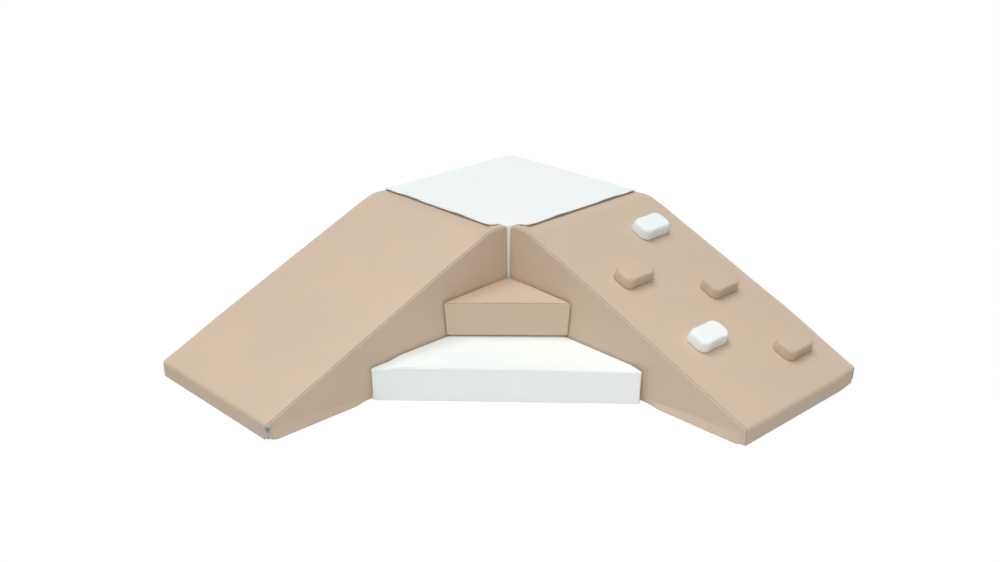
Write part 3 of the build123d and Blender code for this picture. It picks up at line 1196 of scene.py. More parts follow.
def drawn_in(corners: Array, insets: Array) -> Array:
    """A polygon with each side moved inwards by its own distance.

    Each new corner is where the two moved sides next to it cross: the point whose products with
    their inward directions are the old corner's, plus their distances.

    Args:
        corners: The polygon's corners, anticlockwise.
        insets: One distance for each side, which starts at the corner of the same number.

    Returns:
        The new corners.
    """
    ahead = np.roll(corners, -1, axis=0) - corners
    direction = ahead / np.linalg.norm(ahead, axis=1, keepdims=True)
    inward = np.stack([-direction[:, 1], direction[:, 0]], axis=1)
    before = np.roll(inward, 1, axis=0)
    sides = np.stack([before, inward], axis=1)
    values = np.einsum("kij,kj->ki", sides, corners) + np.stack([np.roll(insets, 1), insets], axis=1)
    return np.linalg.solve(sides, values[..., None])[..., 0]


def stand_up(plan: Array, height: Array) -> Array:
    """Plan points given each row's height."""
    tall = np.broadcast_to(height[:, None], plan.shape[:2])
    return np.concatenate([plan, tall[..., None]], axis=2)


@dataclass
class UprightBlock(Block):
    """A block whose plan is carried upwards: the platform and the two steps."""

    base: float = 0.0
    height: float = 0.1
    edge_radius: float = 0.005
    hem_radius: float = 0.005
    side_spacing: float = 0.016
    short_side: int | None = None
    seam_softness: float = 1.0
    row_spacing: float = 0.012
    zip_room: float = 0.004
    zip_end_room: float = 0.010
    corners: Array = field(init=False)
    radii: Array = field(init=False)
    zip_side: int = field(init=False)
    zip_span: Pair = field(init=False)

    def stops(self) -> list[Array]:
        """Stops along each side, with the zip's ends among them.

        Returns:
            One array of stops for each side.
        """
        sides = np.linalg.norm(np.roll(self.corners, -1, axis=0) - self.corners, axis=1)
        extra = [self.zip_span if number == self.zip_side else () for number in range(len(sides))]
        return [spaced(float(side), self.side_spacing, ends) for side, ends in zip(sides, extra)]

    def bend(self, points: Array) -> Array:
        """The block's own softness. A plain block has none."""
        return points

    def centre(self) -> Array:
        """The point that the lids close on."""
        return self.corners.mean(axis=0)

    def sheet_corners(self) -> Array:
        """The corners that the sheet underneath is drawn in from."""
        return self.corners

    def wrap(self, inset: float, sewn: bool) -> tuple[Skin, Outline]:
        """The block's skin, drawn in by a distance on every side.

        Args:
            inset: 0 for the cover, more for the foam.
            sewn: Whether it is the cover, with its opening and fine edges.

        Returns:
            The skin and its outline.
        """
        outline = Outline(self.corners, self.radii, self.stops(), short_side=self.short_side)
        low, high = self.base + inset, self.base + self.height - inset
        groove = ZIP.inset - ZIP.reach
        insets = np.array([*LID_ROW_INSETS, groove, ZIP.inset, self.base_margin])
        section = Section(
            low, high, self.edge_radius - inset, spaced(self.base + self.height, self.row_spacing),
            insets, LID_SHARES if sewn else PLAIN_LID_SHARES,
            SEAM_ROW_SHARES if sewn else PLAIN_ROW_SHARES,
            low_edge_radius=self.hem_radius - inset, low_open=self.base_margin if sewn else None,
        )
        rows = section.rows()
        plan = outline.rows(rows["inset"] + inset, rows["reach"], self.centre())
        points = self.bend(stand_up(plan, rows["height"]))
        return Skin(points, rows, not sewn, True), outline

    def make(self) -> None:
        """Makes the cover, its stitches, the foam and the sheet underneath."""
        skin, outline = self.wrap(0.0, True)
        columns = skin.points.shape[1]
        none, all_round = np.zeros(columns), np.ones(columns)
        skin.sew(self.seam, none, all_round)
        keep = self.around_zip(skin, outline)
        distance = skin.seam_distance(none, all_round) * self.seam_softness
        cover = skin.build(f"{self.name}_sewn_cover", PALETTE.cover(self.tint), distance, keep)
        self.finish_cover(cover)
        self.stitch("stitches", *skin.seam_path())
        foam, _ = self.wrap(self.wall + self.core_clearance, False)
        self.lift_over_zip(foam)
        self.finish_foam(foam.build(f"{self.name}_foam", PALETTE.foam, foam.no_seam()))
        self.lay_sheet(self.sheet_corners(), self.base)
        self.finish_zip(f"{self.name}_zip", f"{self.name}_zip_slider")

    def around_zip(self, skin: Skin, outline: Outline) -> Array:
        """Which cells of the cover are there: all but those over the zip's groove.

        Args:
            skin: The cover's skin.
            outline: Its outline.

        Returns:
            One truth value per cell.
        """
        inset, lean = skin.rows["inset"], skin.rows["lean"]
        middle = (inset[:-1] + inset[1:]) / 2.0
        under = (middle > ZIP.inset - ZIP.reach) & (lean[1:] < -0.999)
        start, direction = self.zip_line()
        along = (skin.cell_middles()[..., :2] - start) @ direction
        low, high = self.zip_span
        beside = (outline.zone == self.zip_side + 0.5)[None] & (along > low) & (along < high)
        return ~(under[:, None] & beside)

    def zip_line(self) -> tuple[Array, Array]:
        """Where the side with the zip starts, and its direction.

        Returns:
            The corner that it starts at and a unit vector.
        """
        start = self.corners[self.zip_side]
        ahead = self.corners[(self.zip_side + 1) % len(self.corners)] - start
        return start, ahead / np.linalg.norm(ahead)

    def lift_over_zip(self, skin: Skin) -> None:
        """Raises the foam's underside over the zip's groove.

        Args:
            skin: The foam's skin.
        """
        start, direction = self.zip_line()
        inward = np.array([-direction[1], direction[0]])
        along = (skin.points[..., :2] - start) @ direction
        across = (skin.points[..., :2] - start) @ inward
        low, high = self.zip_span
        over = (along > low - self.zip_end_room) & (along < high + self.zip_end_room)
        over &= np.abs(across - ZIP.inset) < ZIP.reach + self.zip_room
        floor = self.base + ZIP.base_height + self.core_clearance
        skin.points[..., 2] = np.where(over, np.maximum(skin.points[..., 2], floor), skin.points[..., 2])


@dataclass
class Platform(UprightBlock):
    """The square block at the back, white, with a tongue of its top panel over each ramp."""

    side: float = 0.600
    height: float = PLATFORM_HEIGHT
    edge_radius: float = 0.008
    hem_radius: float = 0.008
    side_spacing: float = 0.020
    corner_radius: float = PLATFORM_CORNER_RADIUS
    side_crown: float = 0.003

    def __post_init__(self) -> None:
        """Lays out the square, its front corner at the origin, and the zip along its back."""
        side = self.side
        self.corners = np.array([(0.0, 0.0), (side, 0.0), (side, side), (0.0, side)])
        self.radii = np.full(4, self.corner_radius)
        self.zip_side = 2
        self.zip_span = (ZIP.end_margin, side - ZIP.end_margin)

    def bend(self, points: Array) -> Array:
        """The two back faces swell a little.

        Each moves out by the crown times the sine of the share along it and of the share up it.

        Args:
            points: The plain form's points.

        Returns:
            The moved points.
        """
        up = np.sin(math.pi * np.clip((points[..., 2] - self.base) / self.height, 0.0, 1.0))
        swollen = points.copy()
        for axis in (0, 1):
            along = np.sin(math.pi * np.clip(points[..., 1 - axis] / self.side, 0.0, 1.0))
            depth = ease(points[..., axis] / self.side)
            swollen[..., axis] += self.side_crown * along * up * depth
        return swollen


@dataclass
class Step(UprightBlock):
    """A triangular step between the ramps, its point cut off short of the platform's corner.

    The front face leans: it is drawn in at the bottom and pushed out at the top. Every height is
    scaled in plan about the corner where its two sides would meet, so those sides stay in line.
    """

    reach: float = 0.407
    tip_radius: float = 0.006
    apex_radius: float = 0.008
    side_offset: float = 0.0145
    corner_clearance: float = 0.0005
    tuck: float = 0.002
    push: float = 0.0
    skew: float = 0.005
    front_crown: float = 0.001
    side_gap: float = 0.003
    side_gap_width: float = 0.05
    apex_rise: float = 0.0
    droops: Pair = (0.0065, 0.0045)
    droop_spans: tuple[Pair, Pair] = ((0.77, 0.87), (0.15, 0.95))
    tip_draws: Pair = (0.0, 0.0)
    tip_draw_start: float = 0.86
    side_gap_rise_share: float = 0.25
    zip_apex_margin: float = 0.038
    zip_tip_margin: float = 0.055

    def __post_init__(self) -> None:
        """Lays out the triangle and the zip along its side by the slide."""
        root = math.sqrt(2.0)
        tip = -self.reach * root - self.side_offset
        cut = (PLATFORM_CORNER_RADIUS * (root - 1.0) - self.corner_clearance) * root
        near = cut - self.side_offset
        side = self.side_offset
        self.corners = np.array([(side, tip), (side, near), (near, side), (tip, side)])
        self.radii = np.array([self.tip_radius, self.apex_radius, self.apex_radius, self.tip_radius])
        self.short_side = 1
        self.zip_side = 2
        start = near - (self.side_offset - self.zip_apex_margin)
        length = self.reach * root + 2.0 * self.side_offset - self.zip_apex_margin - self.zip_tip_margin
        self.zip_span = (start, start + length)

    def sheet_corners(self) -> Array:
        """The triangle with its point whole, because the sheet starts past where that side ends."""
        side, tip = self.side_offset, self.corners[0, 1]
        return np.array([(side, tip), (side, side), (tip, side)])

    def centre(self) -> Array:
        """A point well inside the triangle, the same distance from all three sides."""
        depth = self.reach / (1.0 + math.sqrt(2.0))
        return np.array([self.side_offset - depth, self.side_offset - depth])

    def bend(self, points: Array) -> Array:
        """Leans, crowns and turns the front, draws the sides off the ramps and shapes the top.

        Depth goes from 0 at the corner to 1 at the front, and beside from -1 at one tip to 1 at the
        other. The top rises towards the platform and droops to the tips, each by an eased step. A tip
        that stops short of its ramp's side is drawn in along the front.

        Args:
            points: The plain form's points.

        Returns:
            The moved points.
        """
        share = np.clip((points[..., 2] - self.base) / self.height, 0.0, 1.0)
        from_corner = points[..., :2] - self.side_offset
        full = self.reach + self.side_offset * math.sqrt(2.0)
        depth = -(from_corner[..., 0] + from_corner[..., 1]) / math.sqrt(2.0) / full
        beside = (from_corner[..., 0] - from_corner[..., 1]) / math.sqrt(2.0) / full
        shift = self.skew * beside - self.tuck + (self.tuck + self.push) * ease(share * 0.9 + 0.05)
        crown = self.front_crown * np.sin(math.pi * share) * np.clip(1.0 - beside ** 2, 0.0, 1.0)
        scale = 1.0 + (shift + crown * ease(depth * 1.5 - 0.5)) / full
        bent = points.copy()
        bent[..., :2] = self.side_offset + from_corner * scale[..., None]
        by_side = ease(1.0 + from_corner / self.side_gap_width)
        bent[..., :2] -= self.side_gap * by_side * ease(share / self.side_gap_rise_share)[..., None]
        bent[..., 2] += self.apex_rise * ease(1.0 - depth) * share
        for way, droop, (start, end) in zip((-1.0, 1.0), self.droops, self.droop_spans):
            bent[..., 2] -= droop * share * ease((way * beside - start) / (end - start))
        for way, draw in zip((-1.0, 1.0), self.tip_draws):
            drawn = draw * ease((way * beside - self.tip_draw_start) / (1.0 - self.tip_draw_start))
            bent[..., :2] += (way * drawn / math.sqrt(2.0))[..., None] * np.array([-1.0, 1.0])
        return bent


@dataclass
class Ramp(Block):
    """A ramp: its side view carried across its width, from its heel by the platform to its toe.

    Ramp points are X from the heel to the toe, Z up, and Y across from the side by the steps. A span
    says where a change starts and over what length it runs, and the calm one runs towards the zip.
    """

    side: Side = Side.SLIDE
    length: float = 0.950
    width: float = 0.585
    height: float = 0.4176
    flat: float = 0.081
    toe_height: float = 0.053
    crest_radius: float = 0.110
    toe_radius: float = 0.014
    heel_radius: float = 0.009
    foot_radius: float = 0.004
    edge_radius: float = 0.007
    corner_offset: float = 0.015
    gap: float = 0.0003
    view_spacings: tuple[float, ...] = (0.020, 0.0018, 0.0115, 0.009, 0.018)
    across_spacing: float = 0.0155
    centre_shares: Pair = (0.40, 0.38)
    slope_crown: float = 0.0016
    crown_fade: float = 0.05
    outer_crown: float = 0.003
    outer_fade: float = 0.06
    outer_push: float = 0.0075
    outer_rise: Pair = (0.16, 0.30)
    push_fade: float = 0.10
    toe_turn: float = 0.0
    turn_span: Pair = (0.75, 0.15)
    calm_span: Pair = (0.10, 0.09)
    phase: float = 0.4
    toe_waver: float = 0.0012
    toe_wave: float = 0.27
    waver_span: Pair = (0.02, 0.03)
    edge_wander: float = 0.0007
    edge_wave: float = 0.31
    edge_span: Pair = (0.05, 0.05)
    edge_fade: float = 0.03
    heel_fade: float = 0.1
    seam_turn: float = 24.0
    bulge: float = 0.0105
    bulge_low: float = 0.236
    bulge_rise: float = 0.009
    bulge_reach: float = 0.25
    shoulder: float = 0.0100
    shoulder_reach: Pair = (0.030, 0.170)
    shoulder_width: float = 0.045
    shoulder_depth: float = 0.05
    flare: float = 0.010
    flare_start: float = 0.600
    flare_rise: float = 0.03
    flare_heights: Pair = (0.017, 0.037)
    flare_end: Pair = (0.015, 0.032)
    bottom_height: float = 0.0005
    welt_radius: float = 0.0009
    zip_room: float = 0.004
    zip_cut_fade: float = 0.0012

    def __post_init__(self) -> None:
        """Lays out the side view, anticlockwise from the heel's bottom."""
        self.corners = np.array([
            (0.0, 0.0), (self.length, 0.0), (self.length, self.toe_height),
            (self.flat, self.height), (0.0, self.height),
        ])
        heel = self.heel_radius
        self.radii = np.array([heel, self.foot_radius, self.toe_radius, self.crest_radius, heel])

    @property
    def body(self) -> str:
        """The body that the ramp's pieces ride on."""
        return f"{self.name}_ramp"

    def to_set(self, points: Array) -> Array:
        """Ramp points in the set's frame.

        Args:
            points: Ramp points.

        Returns:
            The same points in the set's frame.
        """
        outwards = -self.gap - points[..., 0]
        beside = self.corner_offset + points[..., 1]
        pair = (outwards, beside) if self.side is Side.SLIDE else (beside, outwards)
        return np.stack([*pair, points[..., 2]], axis=-1)

    def from_zip_side(self, across: Array) -> Array:
        """Distance from the side that the zip stands at: by the steps on the slide, away from them
        on the climbing ramp."""
        return across if self.side is Side.SLIDE else self.width - across

    def wrap(self, inset: float, sewn: bool) -> tuple[Skin, Outline]:
        """The ramp's skin in ramp points, drawn in by a distance on every side.

        Args:
            inset: 0 for the cover, more for the foam.
            sewn: Whether it is the cover, with its seams and worn form.

        Returns:
            The skin and its outline.
        """
        near_toe = tuple(self.length - np.arange(0.002, 0.060, 0.004))
        margins = (self.base_margin, ZIP.end_margin, self.length - self.base_margin)
        slope = math.hypot(self.length - self.flat, self.height - self.toe_height)
        sides = (self.length, self.toe_height, slope, self.flat, self.height)
        extra = (near_toe + margins, (), (), (), ())
        stops = [spaced(*side) for side in zip(sides, self.view_spacings, extra)]
        outline = Outline(self.corners, self.radii, stops)
        near_edge = np.array([
            0.0077, 0.0085, 0.0095, 0.0112, 0.013, 0.0145, 0.016, 0.0185, 0.022, 0.026, 0.030, 0.035,
        ])
        both_edges = np.concatenate([near_edge, self.width - near_edge])
        wall = np.union1d(spaced(self.width, self.across_spacing), both_edges)
        lid = np.array([0.0085, 0.0098, 0.0112, 0.0124, 0.0136, 0.0148, 0.016, 0.018])
        section = Section(
            inset, self.width - inset, self.edge_radius - inset, wall, lid,
            RAMP_LID_SHARES if sewn else PLAIN_LID_SHARES,
            SEAM_ROW_SHARES if sewn else PLAIN_ROW_SHARES, seam_turn=self.seam_turn,
        )
        rows = section.rows()
        centre = np.array([self.length, self.height]) * self.centre_shares
        view = outline.rows(rows["inset"] + inset, rows["reach"], centre)
        across = np.broadcast_to(rows["height"][:, None], view.shape[:2])
        points = np.stack([view[..., 0], across, view[..., 1]], axis=-1)
        return Skin(self.soften(points) if sewn else points, rows, True, True), outline

    def soften(self, points: Array) -> Array:
        """Moves the plain form to the worn one.

        The slope and the outer side swell by a crown, the product of two sines, and the outer side
        stands out along the slope. The toe of a turned ramp runs out towards that side, all but at
        its zip. The side by the steps swells above them by the platform, where its top edge stands
        up as a shoulder. In front of them its hem flares evenly from a crease down to the floor,
        ending short of the toe. The toe's top edge and the side edges waver.

        Args:
            points: The plain form's ramp points.

        Returns:
            The moved points.
        """
        x, y, z = (points[..., axis] for axis in range(3))
        on_slope = (x - self.flat) / (self.length - self.flat)
        slope_z = self.toe_height + (self.height - self.toe_height) * (1.0 - on_slope)
        above = ease(1.0 - (slope_z - z) / self.crown_fade) * (on_slope > 0.0)
        across = np.sin(math.pi * np.clip(y / self.width, 0.0, 1.0))
        crown = self.slope_crown * np.sin(math.pi * np.clip(on_slope, 0.0, 1.0)) * across * above
        low, rise = self.waver_span
        at_toe = swell(self.length - x, self.edge_fade) * ease((z - low) / rise)
        waver = self.toe_waver * wander(y, self.toe_wave, self.phase) * at_toe
        full = np.sin(math.pi * np.clip(x / self.length, 0.0, 1.0))
        tall = np.sin(math.pi * np.clip(z / np.minimum(slope_z, self.height), 0.0, 1.0))
        rise, fall = self.outer_rise
        pushed = self.outer_push * ease(x / rise) * ease((self.length - x) / fall)
        from_outer = y - self.width
        outer = self.outer_crown * full * tall * ease((from_outer + self.outer_fade) / self.outer_fade)
        outer += pushed * ease((from_outer + self.push_fade) / self.push_fade)
        calm, fade = self.calm_span
        by_zip = ease((calm - self.from_zip_side(y)) / fade)
        start, rise = self.turn_span
        turned = self.toe_turn * y / self.width * ease((x - start) / rise) * (1.0 - by_zip)
        inner = ease(1.0 - y / self.edge_fade)
        high = ease((z - self.bulge_low) / self.bulge_rise) * ease(1.0 - x / self.bulge_reach)
        swollen = self.bulge * (1.0 + 0.5 * (self.height - z) / self.height) * high
        hem = np.interp(x, [self.flare_start, self.length], self.flare_heights)
        stop, full_from = self.flare_end
        ended = ease((self.length - x - stop) / (full_from - stop))
        begun = ease((x - self.flare_start) / self.flare_rise)
        flared = self.flare * np.clip(1.0 - z / hem, 0.0, 1.0) * begun * ended
        low, rise = self.edge_span
        edge = self.edge_wander * wander(x, self.edge_wave, self.phase + 1.0)
        edge = edge * ease((z - low) / rise) * ease(x / self.heel_fade)
        near, far = self.shoulder_reach
        beside = ease(1.0 - (x - near) / (far - near)) * ease(1.0 - y / self.shoulder_width)
        lifted = self.shoulder * beside * ease((z - self.height) / self.shoulder_depth + 1.0)
        softer = points.copy()
        softer[..., 0] += turned
        softer[..., 1] += outer - inner * (swollen + flared)
        softer[..., 1] += edge * (inner - ease(from_outer / self.edge_fade + 1.0))
        softer[..., 2] += crown + waver + lifted
        return softer

    def cut_zip_corner(self, points: Array, depth: float) -> Array:
        """Flattens the toe corner behind the standing zip, up to an arch.

        A point nearer the corner's edge than the flat moves in square to it. The flat is where the
        distances from the toe and from the side add up to the depth times root two, and the band is
        as wide as the groove, narrowing over its top as a half circle does.

        Args:
            points: Ramp points.
            depth: How far the flat lies behind the sharp edge.

        Returns:
            The moved points.
        """
        toe = self.length - points[..., 0]
        beside = self.from_zip_side(points[..., 1])
        root = math.sqrt(2.0)
        short = np.maximum(depth * root - (toe + beside), 0.0)
        off_middle = (toe - beside) / root
        over = np.maximum(points[..., 2] - (ZIP.stand_height - ZIP.reach), 0.0)
        half = np.sqrt(np.maximum(ZIP.reach ** 2 - over ** 2, 0.0))
        inside = ease((half - np.abs(off_middle)) / self.zip_cut_fade + 0.5) * (over < ZIP.reach)
        move = short * inside / 2.0
        cut = points.copy()
        cut[..., 0] -= move
        cut[..., 1] += move if self.side is Side.SLIDE else -move
        return cut

    def route_distance(self, x: Array, beside: Array) -> Array:
        """Distance from the zip's run under the ramp: two straight stretches.

        Args:
            x: Distances from the heel.
            beside: Distances from the zip's side.

        Returns:
            The distances.
        """
        turn = np.array([self.length - ZIP.inset, ZIP.inset])
        ends = [np.array([self.length, 0.0]), np.array([ZIP.end_margin, ZIP.inset])]
        spots = np.stack([x, beside], axis=-1)
        found = []
        for end in ends:
            way = end - turn
            share = np.clip(((spots - turn) @ way) / (way @ way), 0.0, 1.0)
            found.append(np.linalg.norm(spots - turn - share[..., None] * way, axis=-1))
        return np.minimum(*found)

    def kept_cells(self, skin: Skin) -> Array:
        """Which cells of the cover are there: all but the base opening and the zip's groove.

        Args:
            skin: The cover's skin, in ramp points.

        Returns:
            One truth value per cell.
        """
        x, y, z = (skin.cell_middles()[..., axis] for axis in range(3))
        toe, beside = self.length - x, self.from_zip_side(y)
        margin = self.base_margin
        opening = (z < self.bottom_height) & (x > margin) & (x < self.length - margin)
        opening &= (y > margin) & (y < self.width - margin)
        groove = (z < ZIP.base_height) & (self.route_distance(x, beside) < ZIP.reach)
        groove &= x > ZIP.end_margin
        corner = (np.abs(toe - beside) < ZIP.groove_width / math.sqrt(2.0)) & (z < ZIP.bend_height)
        corner &= toe + beside < ZIP.groove_width
        return ~(opening | groove | corner)

    def make(self) -> None:
        """Makes the cover, its stitches, the foam, the sheet underneath and the zip's trim."""
        skin, outline = self.wrap(0.0, True)
        sewn = ((outline.zone > 1.2) & (outline.zone < 3.8)).astype(float)
        zipped = sewn * (outline.zone > 1.8)
        low, high = (zipped, sewn) if self.side is Side.SLIDE else (sewn, zipped)
        skin.sew(self.seam, low, high)
        distance = skin.seam_distance(low, high)
        normals = skin.normals()
        paths = []
        for name, weight in (("from_low_seam", low), ("from_high_seam", high)):
            row = int(np.argmin(np.abs(skin.rows[name])))
            columns = np.flatnonzero(weight > 0.5)
            paths.append((skin.points[row, columns], normals[row, columns]))
        skin.points = self.cut_zip_corner(skin.points, ZIP.reach + ZIP.tape_clearance)
        keep = self.kept_cells(skin)
        skin.points = self.to_set(skin.points)
        cover = skin.build(f"{self.name}_sewn_cover", PALETTE.cover(self.tint), distance, keep)
        self.finish_cover(cover)
        for label, (path, up) in zip(("inner", "outer"), paths):
            turned = self.to_set(path + up) - self.to_set(path)
            self.stitch(f"{label}_stitches", self.to_set(path), turned)
        self.make_foam()
        corners = self.to_set(np.array([
            (0.0, 0.0, 0.0), (self.length, 0.0, 0.0), (self.length, self.width, 0.0), (0.0, self.width, 0.0),
        ]))[:, :2]
        self.lay_sheet(corners if self.side is Side.CLIMB else corners[::-1], 0.0)
        self.finish_zip(*(f"{self.name}_zip_{part}" for part in ("tape", "teeth", "slider")))
        finish_cad(f"{self.name}_zip_pull", PALETTE.pull)
        self.bind_zip()

    def make_foam(self) -> None:
        """Makes the foam, cut away round the zip."""
        inset = self.wall + self.core_clearance + self.toe_waver
        foam, _ = self.wrap(inset, False)
        points = self.cut_zip_corner(foam.points, ZIP.reach + ZIP.tape_clearance + inset)
        distance = self.route_distance(points[..., 0], self.from_zip_side(points[..., 1]))
        floor = ZIP.base_height + 2.0 * self.core_clearance
        lifted = (distance < ZIP.reach + self.zip_room) & (points[..., 2] < floor)
        points[..., 2] = np.where(lifted, floor, points[..., 2])
        foam.points = self.to_set(points)
        self.finish_foam(foam.build(f"{self.name}_foam", PALETTE.foam, foam.no_seam()))

    def bind_zip(self) -> None:
        """Binds the arch over the standing zip with a thin welt.

        Its path goes up one side of the band, over the arch and down the other. The corner's face
        stands off the flat by the groove's half less the distance from the middle, and by a circle
        of the edge's radius where the edge is rounded.
        """
        reach, low, top = ZIP.reach, ZIP.bend_height, ZIP.stand_height - ZIP.reach
        turn = np.linspace(0.0, math.pi, 25)
        up = np.linspace(low, top, 8)[:-1]
        off = np.concatenate([np.full(len(up), reach), reach * np.cos(turn), np.full(len(up), -reach)])
        tall = np.concatenate([up, top + reach * np.sin(turn), up[::-1]])
        root = math.sqrt(2.0)
        radius = self.edge_radius
        round_face = (reach - radius * root) + np.sqrt(np.maximum(radius ** 2 - off ** 2, 0.0))
        face = np.where(np.abs(off) < radius / root, round_face, reach - np.abs(off))
        toe = (reach - face + off) / root
        beside = (reach - face - off) / root
        across = beside if self.side is Side.SLIDE else self.width - beside
        path = self.to_set(np.stack([self.length - toe, across, tall], axis=-1))
        thread = PALETTE.thread(self.tint)
        welt = tube(f"{self.name}_zip_welt", path, self.welt_radius, 8, thread)
        seat(welt, self.body, "zip_tape")


def tube(name: str, path: Array, radius: float, sides: int, finish: Finish) -> Piece:
    """A round tube along a path: at each point, a ring square to the way ahead.

    Args:
        name: The object's name.
        path: The points that it follows, in the set's frame.
        radius: The tube's radius.
        sides: How many sides it has.
        finish: What it is made of.

    Returns:
        The object.
    """
    ahead = np.gradient(path, axis=0)
    ahead /= np.linalg.norm(ahead, axis=1, keepdims=True)
    first = np.cross(ahead, np.array([0.3, 0.5, 0.1]))
    first /= np.linalg.norm(first, axis=1, keepdims=True)
    second = np.cross(ahead, first)
    angles = 2.0 * math.pi * np.arange(sides) / sides
    ring = np.cos(angles)[None, :, None] * first[:, None] + np.sin(angles)[None, :, None] * second[:, None]
    points = (path[:, None] + radius * ring).reshape(-1, 3)
    grid = np.arange(len(path) * sides).reshape(len(path), sides)
    turned = np.roll(grid, -1, axis=1)
    walls = np.stack([grid[:-1], turned[:-1], turned[1:], grid[1:]], axis=-1).reshape(-1, 4)
    return new_object(name, points, [walls, grid[:1, ::-1], grid[-1:]], finish)


@dataclass
class Flap:
    """A tongue of the platform's top panel that lies over a ramp's flat top.

    Its own points are X outwards over the ramp from the platform's edge, and Y along that edge from
    the front corner.
    """

    side: Side
    top: float = PLATFORM_HEIGHT
    thickness: float = 0.0020
    root: float = 0.009
    tips: tuple[Pair, ...] = (
        (0.0355, 0.0585), (0.0355, 0.224), (0.0345, 0.4055), (0.0348, 0.5970),
    )
    root_start: float = 0.0455
    corner_radius: float = 0.003
    bend: float = 0.004
    curl: float = 0.0048
    waver: float = 0.0008
    fold_place: float = 0.300
    lift: float = 0.00005
    hem: float = 0.006
    hem_shade: float = 0.0006
    rim_width: float = 0.0008

    def edge(self, along: Array) -> Array:
        """How far the tongue's edge stands out, at distances along it: a smooth curve through its
        measured places, with rounded ends.

        Args:
            along: Distances along the platform's edge.

        Returns:
            How far it stands out at each.
        """
        spots = np.array([tip[1] for tip in self.tips])
        reach = np.array([tip[0] for tip in self.tips])
        smooth = np.interp(along, spots, reach) + self.waver * wander(along, 0.19, 0.7)
        for end, way in ((spots[0], 1.0), (spots[-1], -1.0)):
            inside = np.clip(self.corner_radius - way * (along - end), 0.0, self.corner_radius)
            smooth -= self.corner_radius - np.sqrt(self.corner_radius ** 2 - inside ** 2)
        return smooth

    def make(self) -> None:
        """Makes the tongue as a grid.

        Columns run along the edge and rows outwards. A row's start slants with the near end, from
        the root's start to the near tip. The sheet curls up by the curl times the square of the
        share outwards, and its rim is round.
        """
        first, last = self.tips[0][1], self.tips[-1][1]
        share_along = np.linspace(0.0, 1.0, 150)
        share_along = (share_along + 0.5 - 0.5 * np.cos(math.pi * share_along)) / 2.0
        along_tip = first + (last - first) * share_along
        out = self.edge(along_tip)
        share_out = np.union1d(np.linspace(0.0, 1.0, 22), np.array([0.985, 0.995]))
        reach = -self.root + (out[None] + self.root) * share_out[:, None]
        slant = (self.root_start - first) * (1.0 - share_out[:, None]) * (1.0 - share_along[None])
        along = along_tip[None] + slant
        curled = self.curl * np.clip(reach / out.max(), 0.0, 1.0) ** 2
        top = self.top + curled * (1.0 + 0.5 * wander(along, 0.23, 2.0)) + self.lift
        up = np.stack([reach, along, top], axis=-1)
        down = up.copy()
        down[..., 2] -= self.thickness
        rows, columns = reach.shape
        points = self.to_set(np.concatenate([up.reshape(-1, 3), down.reshape(-1, 3)]))
        upper = np.arange(rows * columns).reshape(rows, columns)
        corners = [upper[:-1, :-1], upper[1:, :-1], upper[1:, 1:], upper[:-1, 1:]]
        over = np.stack(corners, axis=-1).reshape(-1, 4)
        below = over[:, [0, 3, 2, 1]] + rows * columns
        rim = np.concatenate([upper[0, :-1], upper[:-1, -1], upper[-1, :0:-1], upper[:0:-1, 0]])
        under = rim + rows * columns
        side = np.stack([rim, np.roll(rim, -1), np.roll(under, -1), under], axis=-1)
        flap = new_object(f"{self.side.flap}_tongue", points, [over, below, side], PALETTE.white)
        set_attribute(flap, SEAM_ATTRIBUTE, self.hem_distance(reach, out, along, first, last))
        rim_bevel = flap.modifiers.new("rim", "BEVEL")
        rim_bevel.width = self.rim_width
        rim_bevel.segments = 3
        rim_bevel.limit_method = "ANGLE"
        rim_bevel.angle_limit = math.radians(50.0)
        sharpen(flap, 180.0)
        fold = np.array([(way * self.bend, self.fold_place, self.top) for way in (1.0, -1.0)])
        past, before = SET_FRAME.place(self.to_set(fold))
        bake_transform(flap)
        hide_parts(self.side.flap)
        LOG.info("%s: %d faces", flap.name, len(flap.data.polygons))

    def hem_distance(self, reach: Array, out: Array, along: Array, first: float, last: float) -> Array:
        """Distance from the hem's stitch line, for both faces of the sheet.

        Args:
            reach: How far out each point lies.
            out: How far out the edge is at each column.
            along: How far along the platform's edge each point lies.
            first: Where the near tip is.
            last: Where the far tip is.

        Returns:
            One distance per point, those of the upper face first.
        """
        inside = np.minimum(out[None] - reach, np.minimum(along - first, last - along))
        line = np.minimum(np.abs(inside - self.hem) + self.hem_shade, FAR_FROM_SEAM)
        return np.tile(line.ravel(), 2)

    def to_set(self, points: Array) -> Array:
        """The flap's points in the set's frame.

        Args:
            points: The flap's own points.

        Returns:
            The same points in the set's frame.
        """
        outwards, along = -points[..., 0], points[..., 1]
        pair = (outwards, along) if self.side is Side.SLIDE else (along, outwards)
        return np.stack([*pair, points[..., 2]], axis=-1)


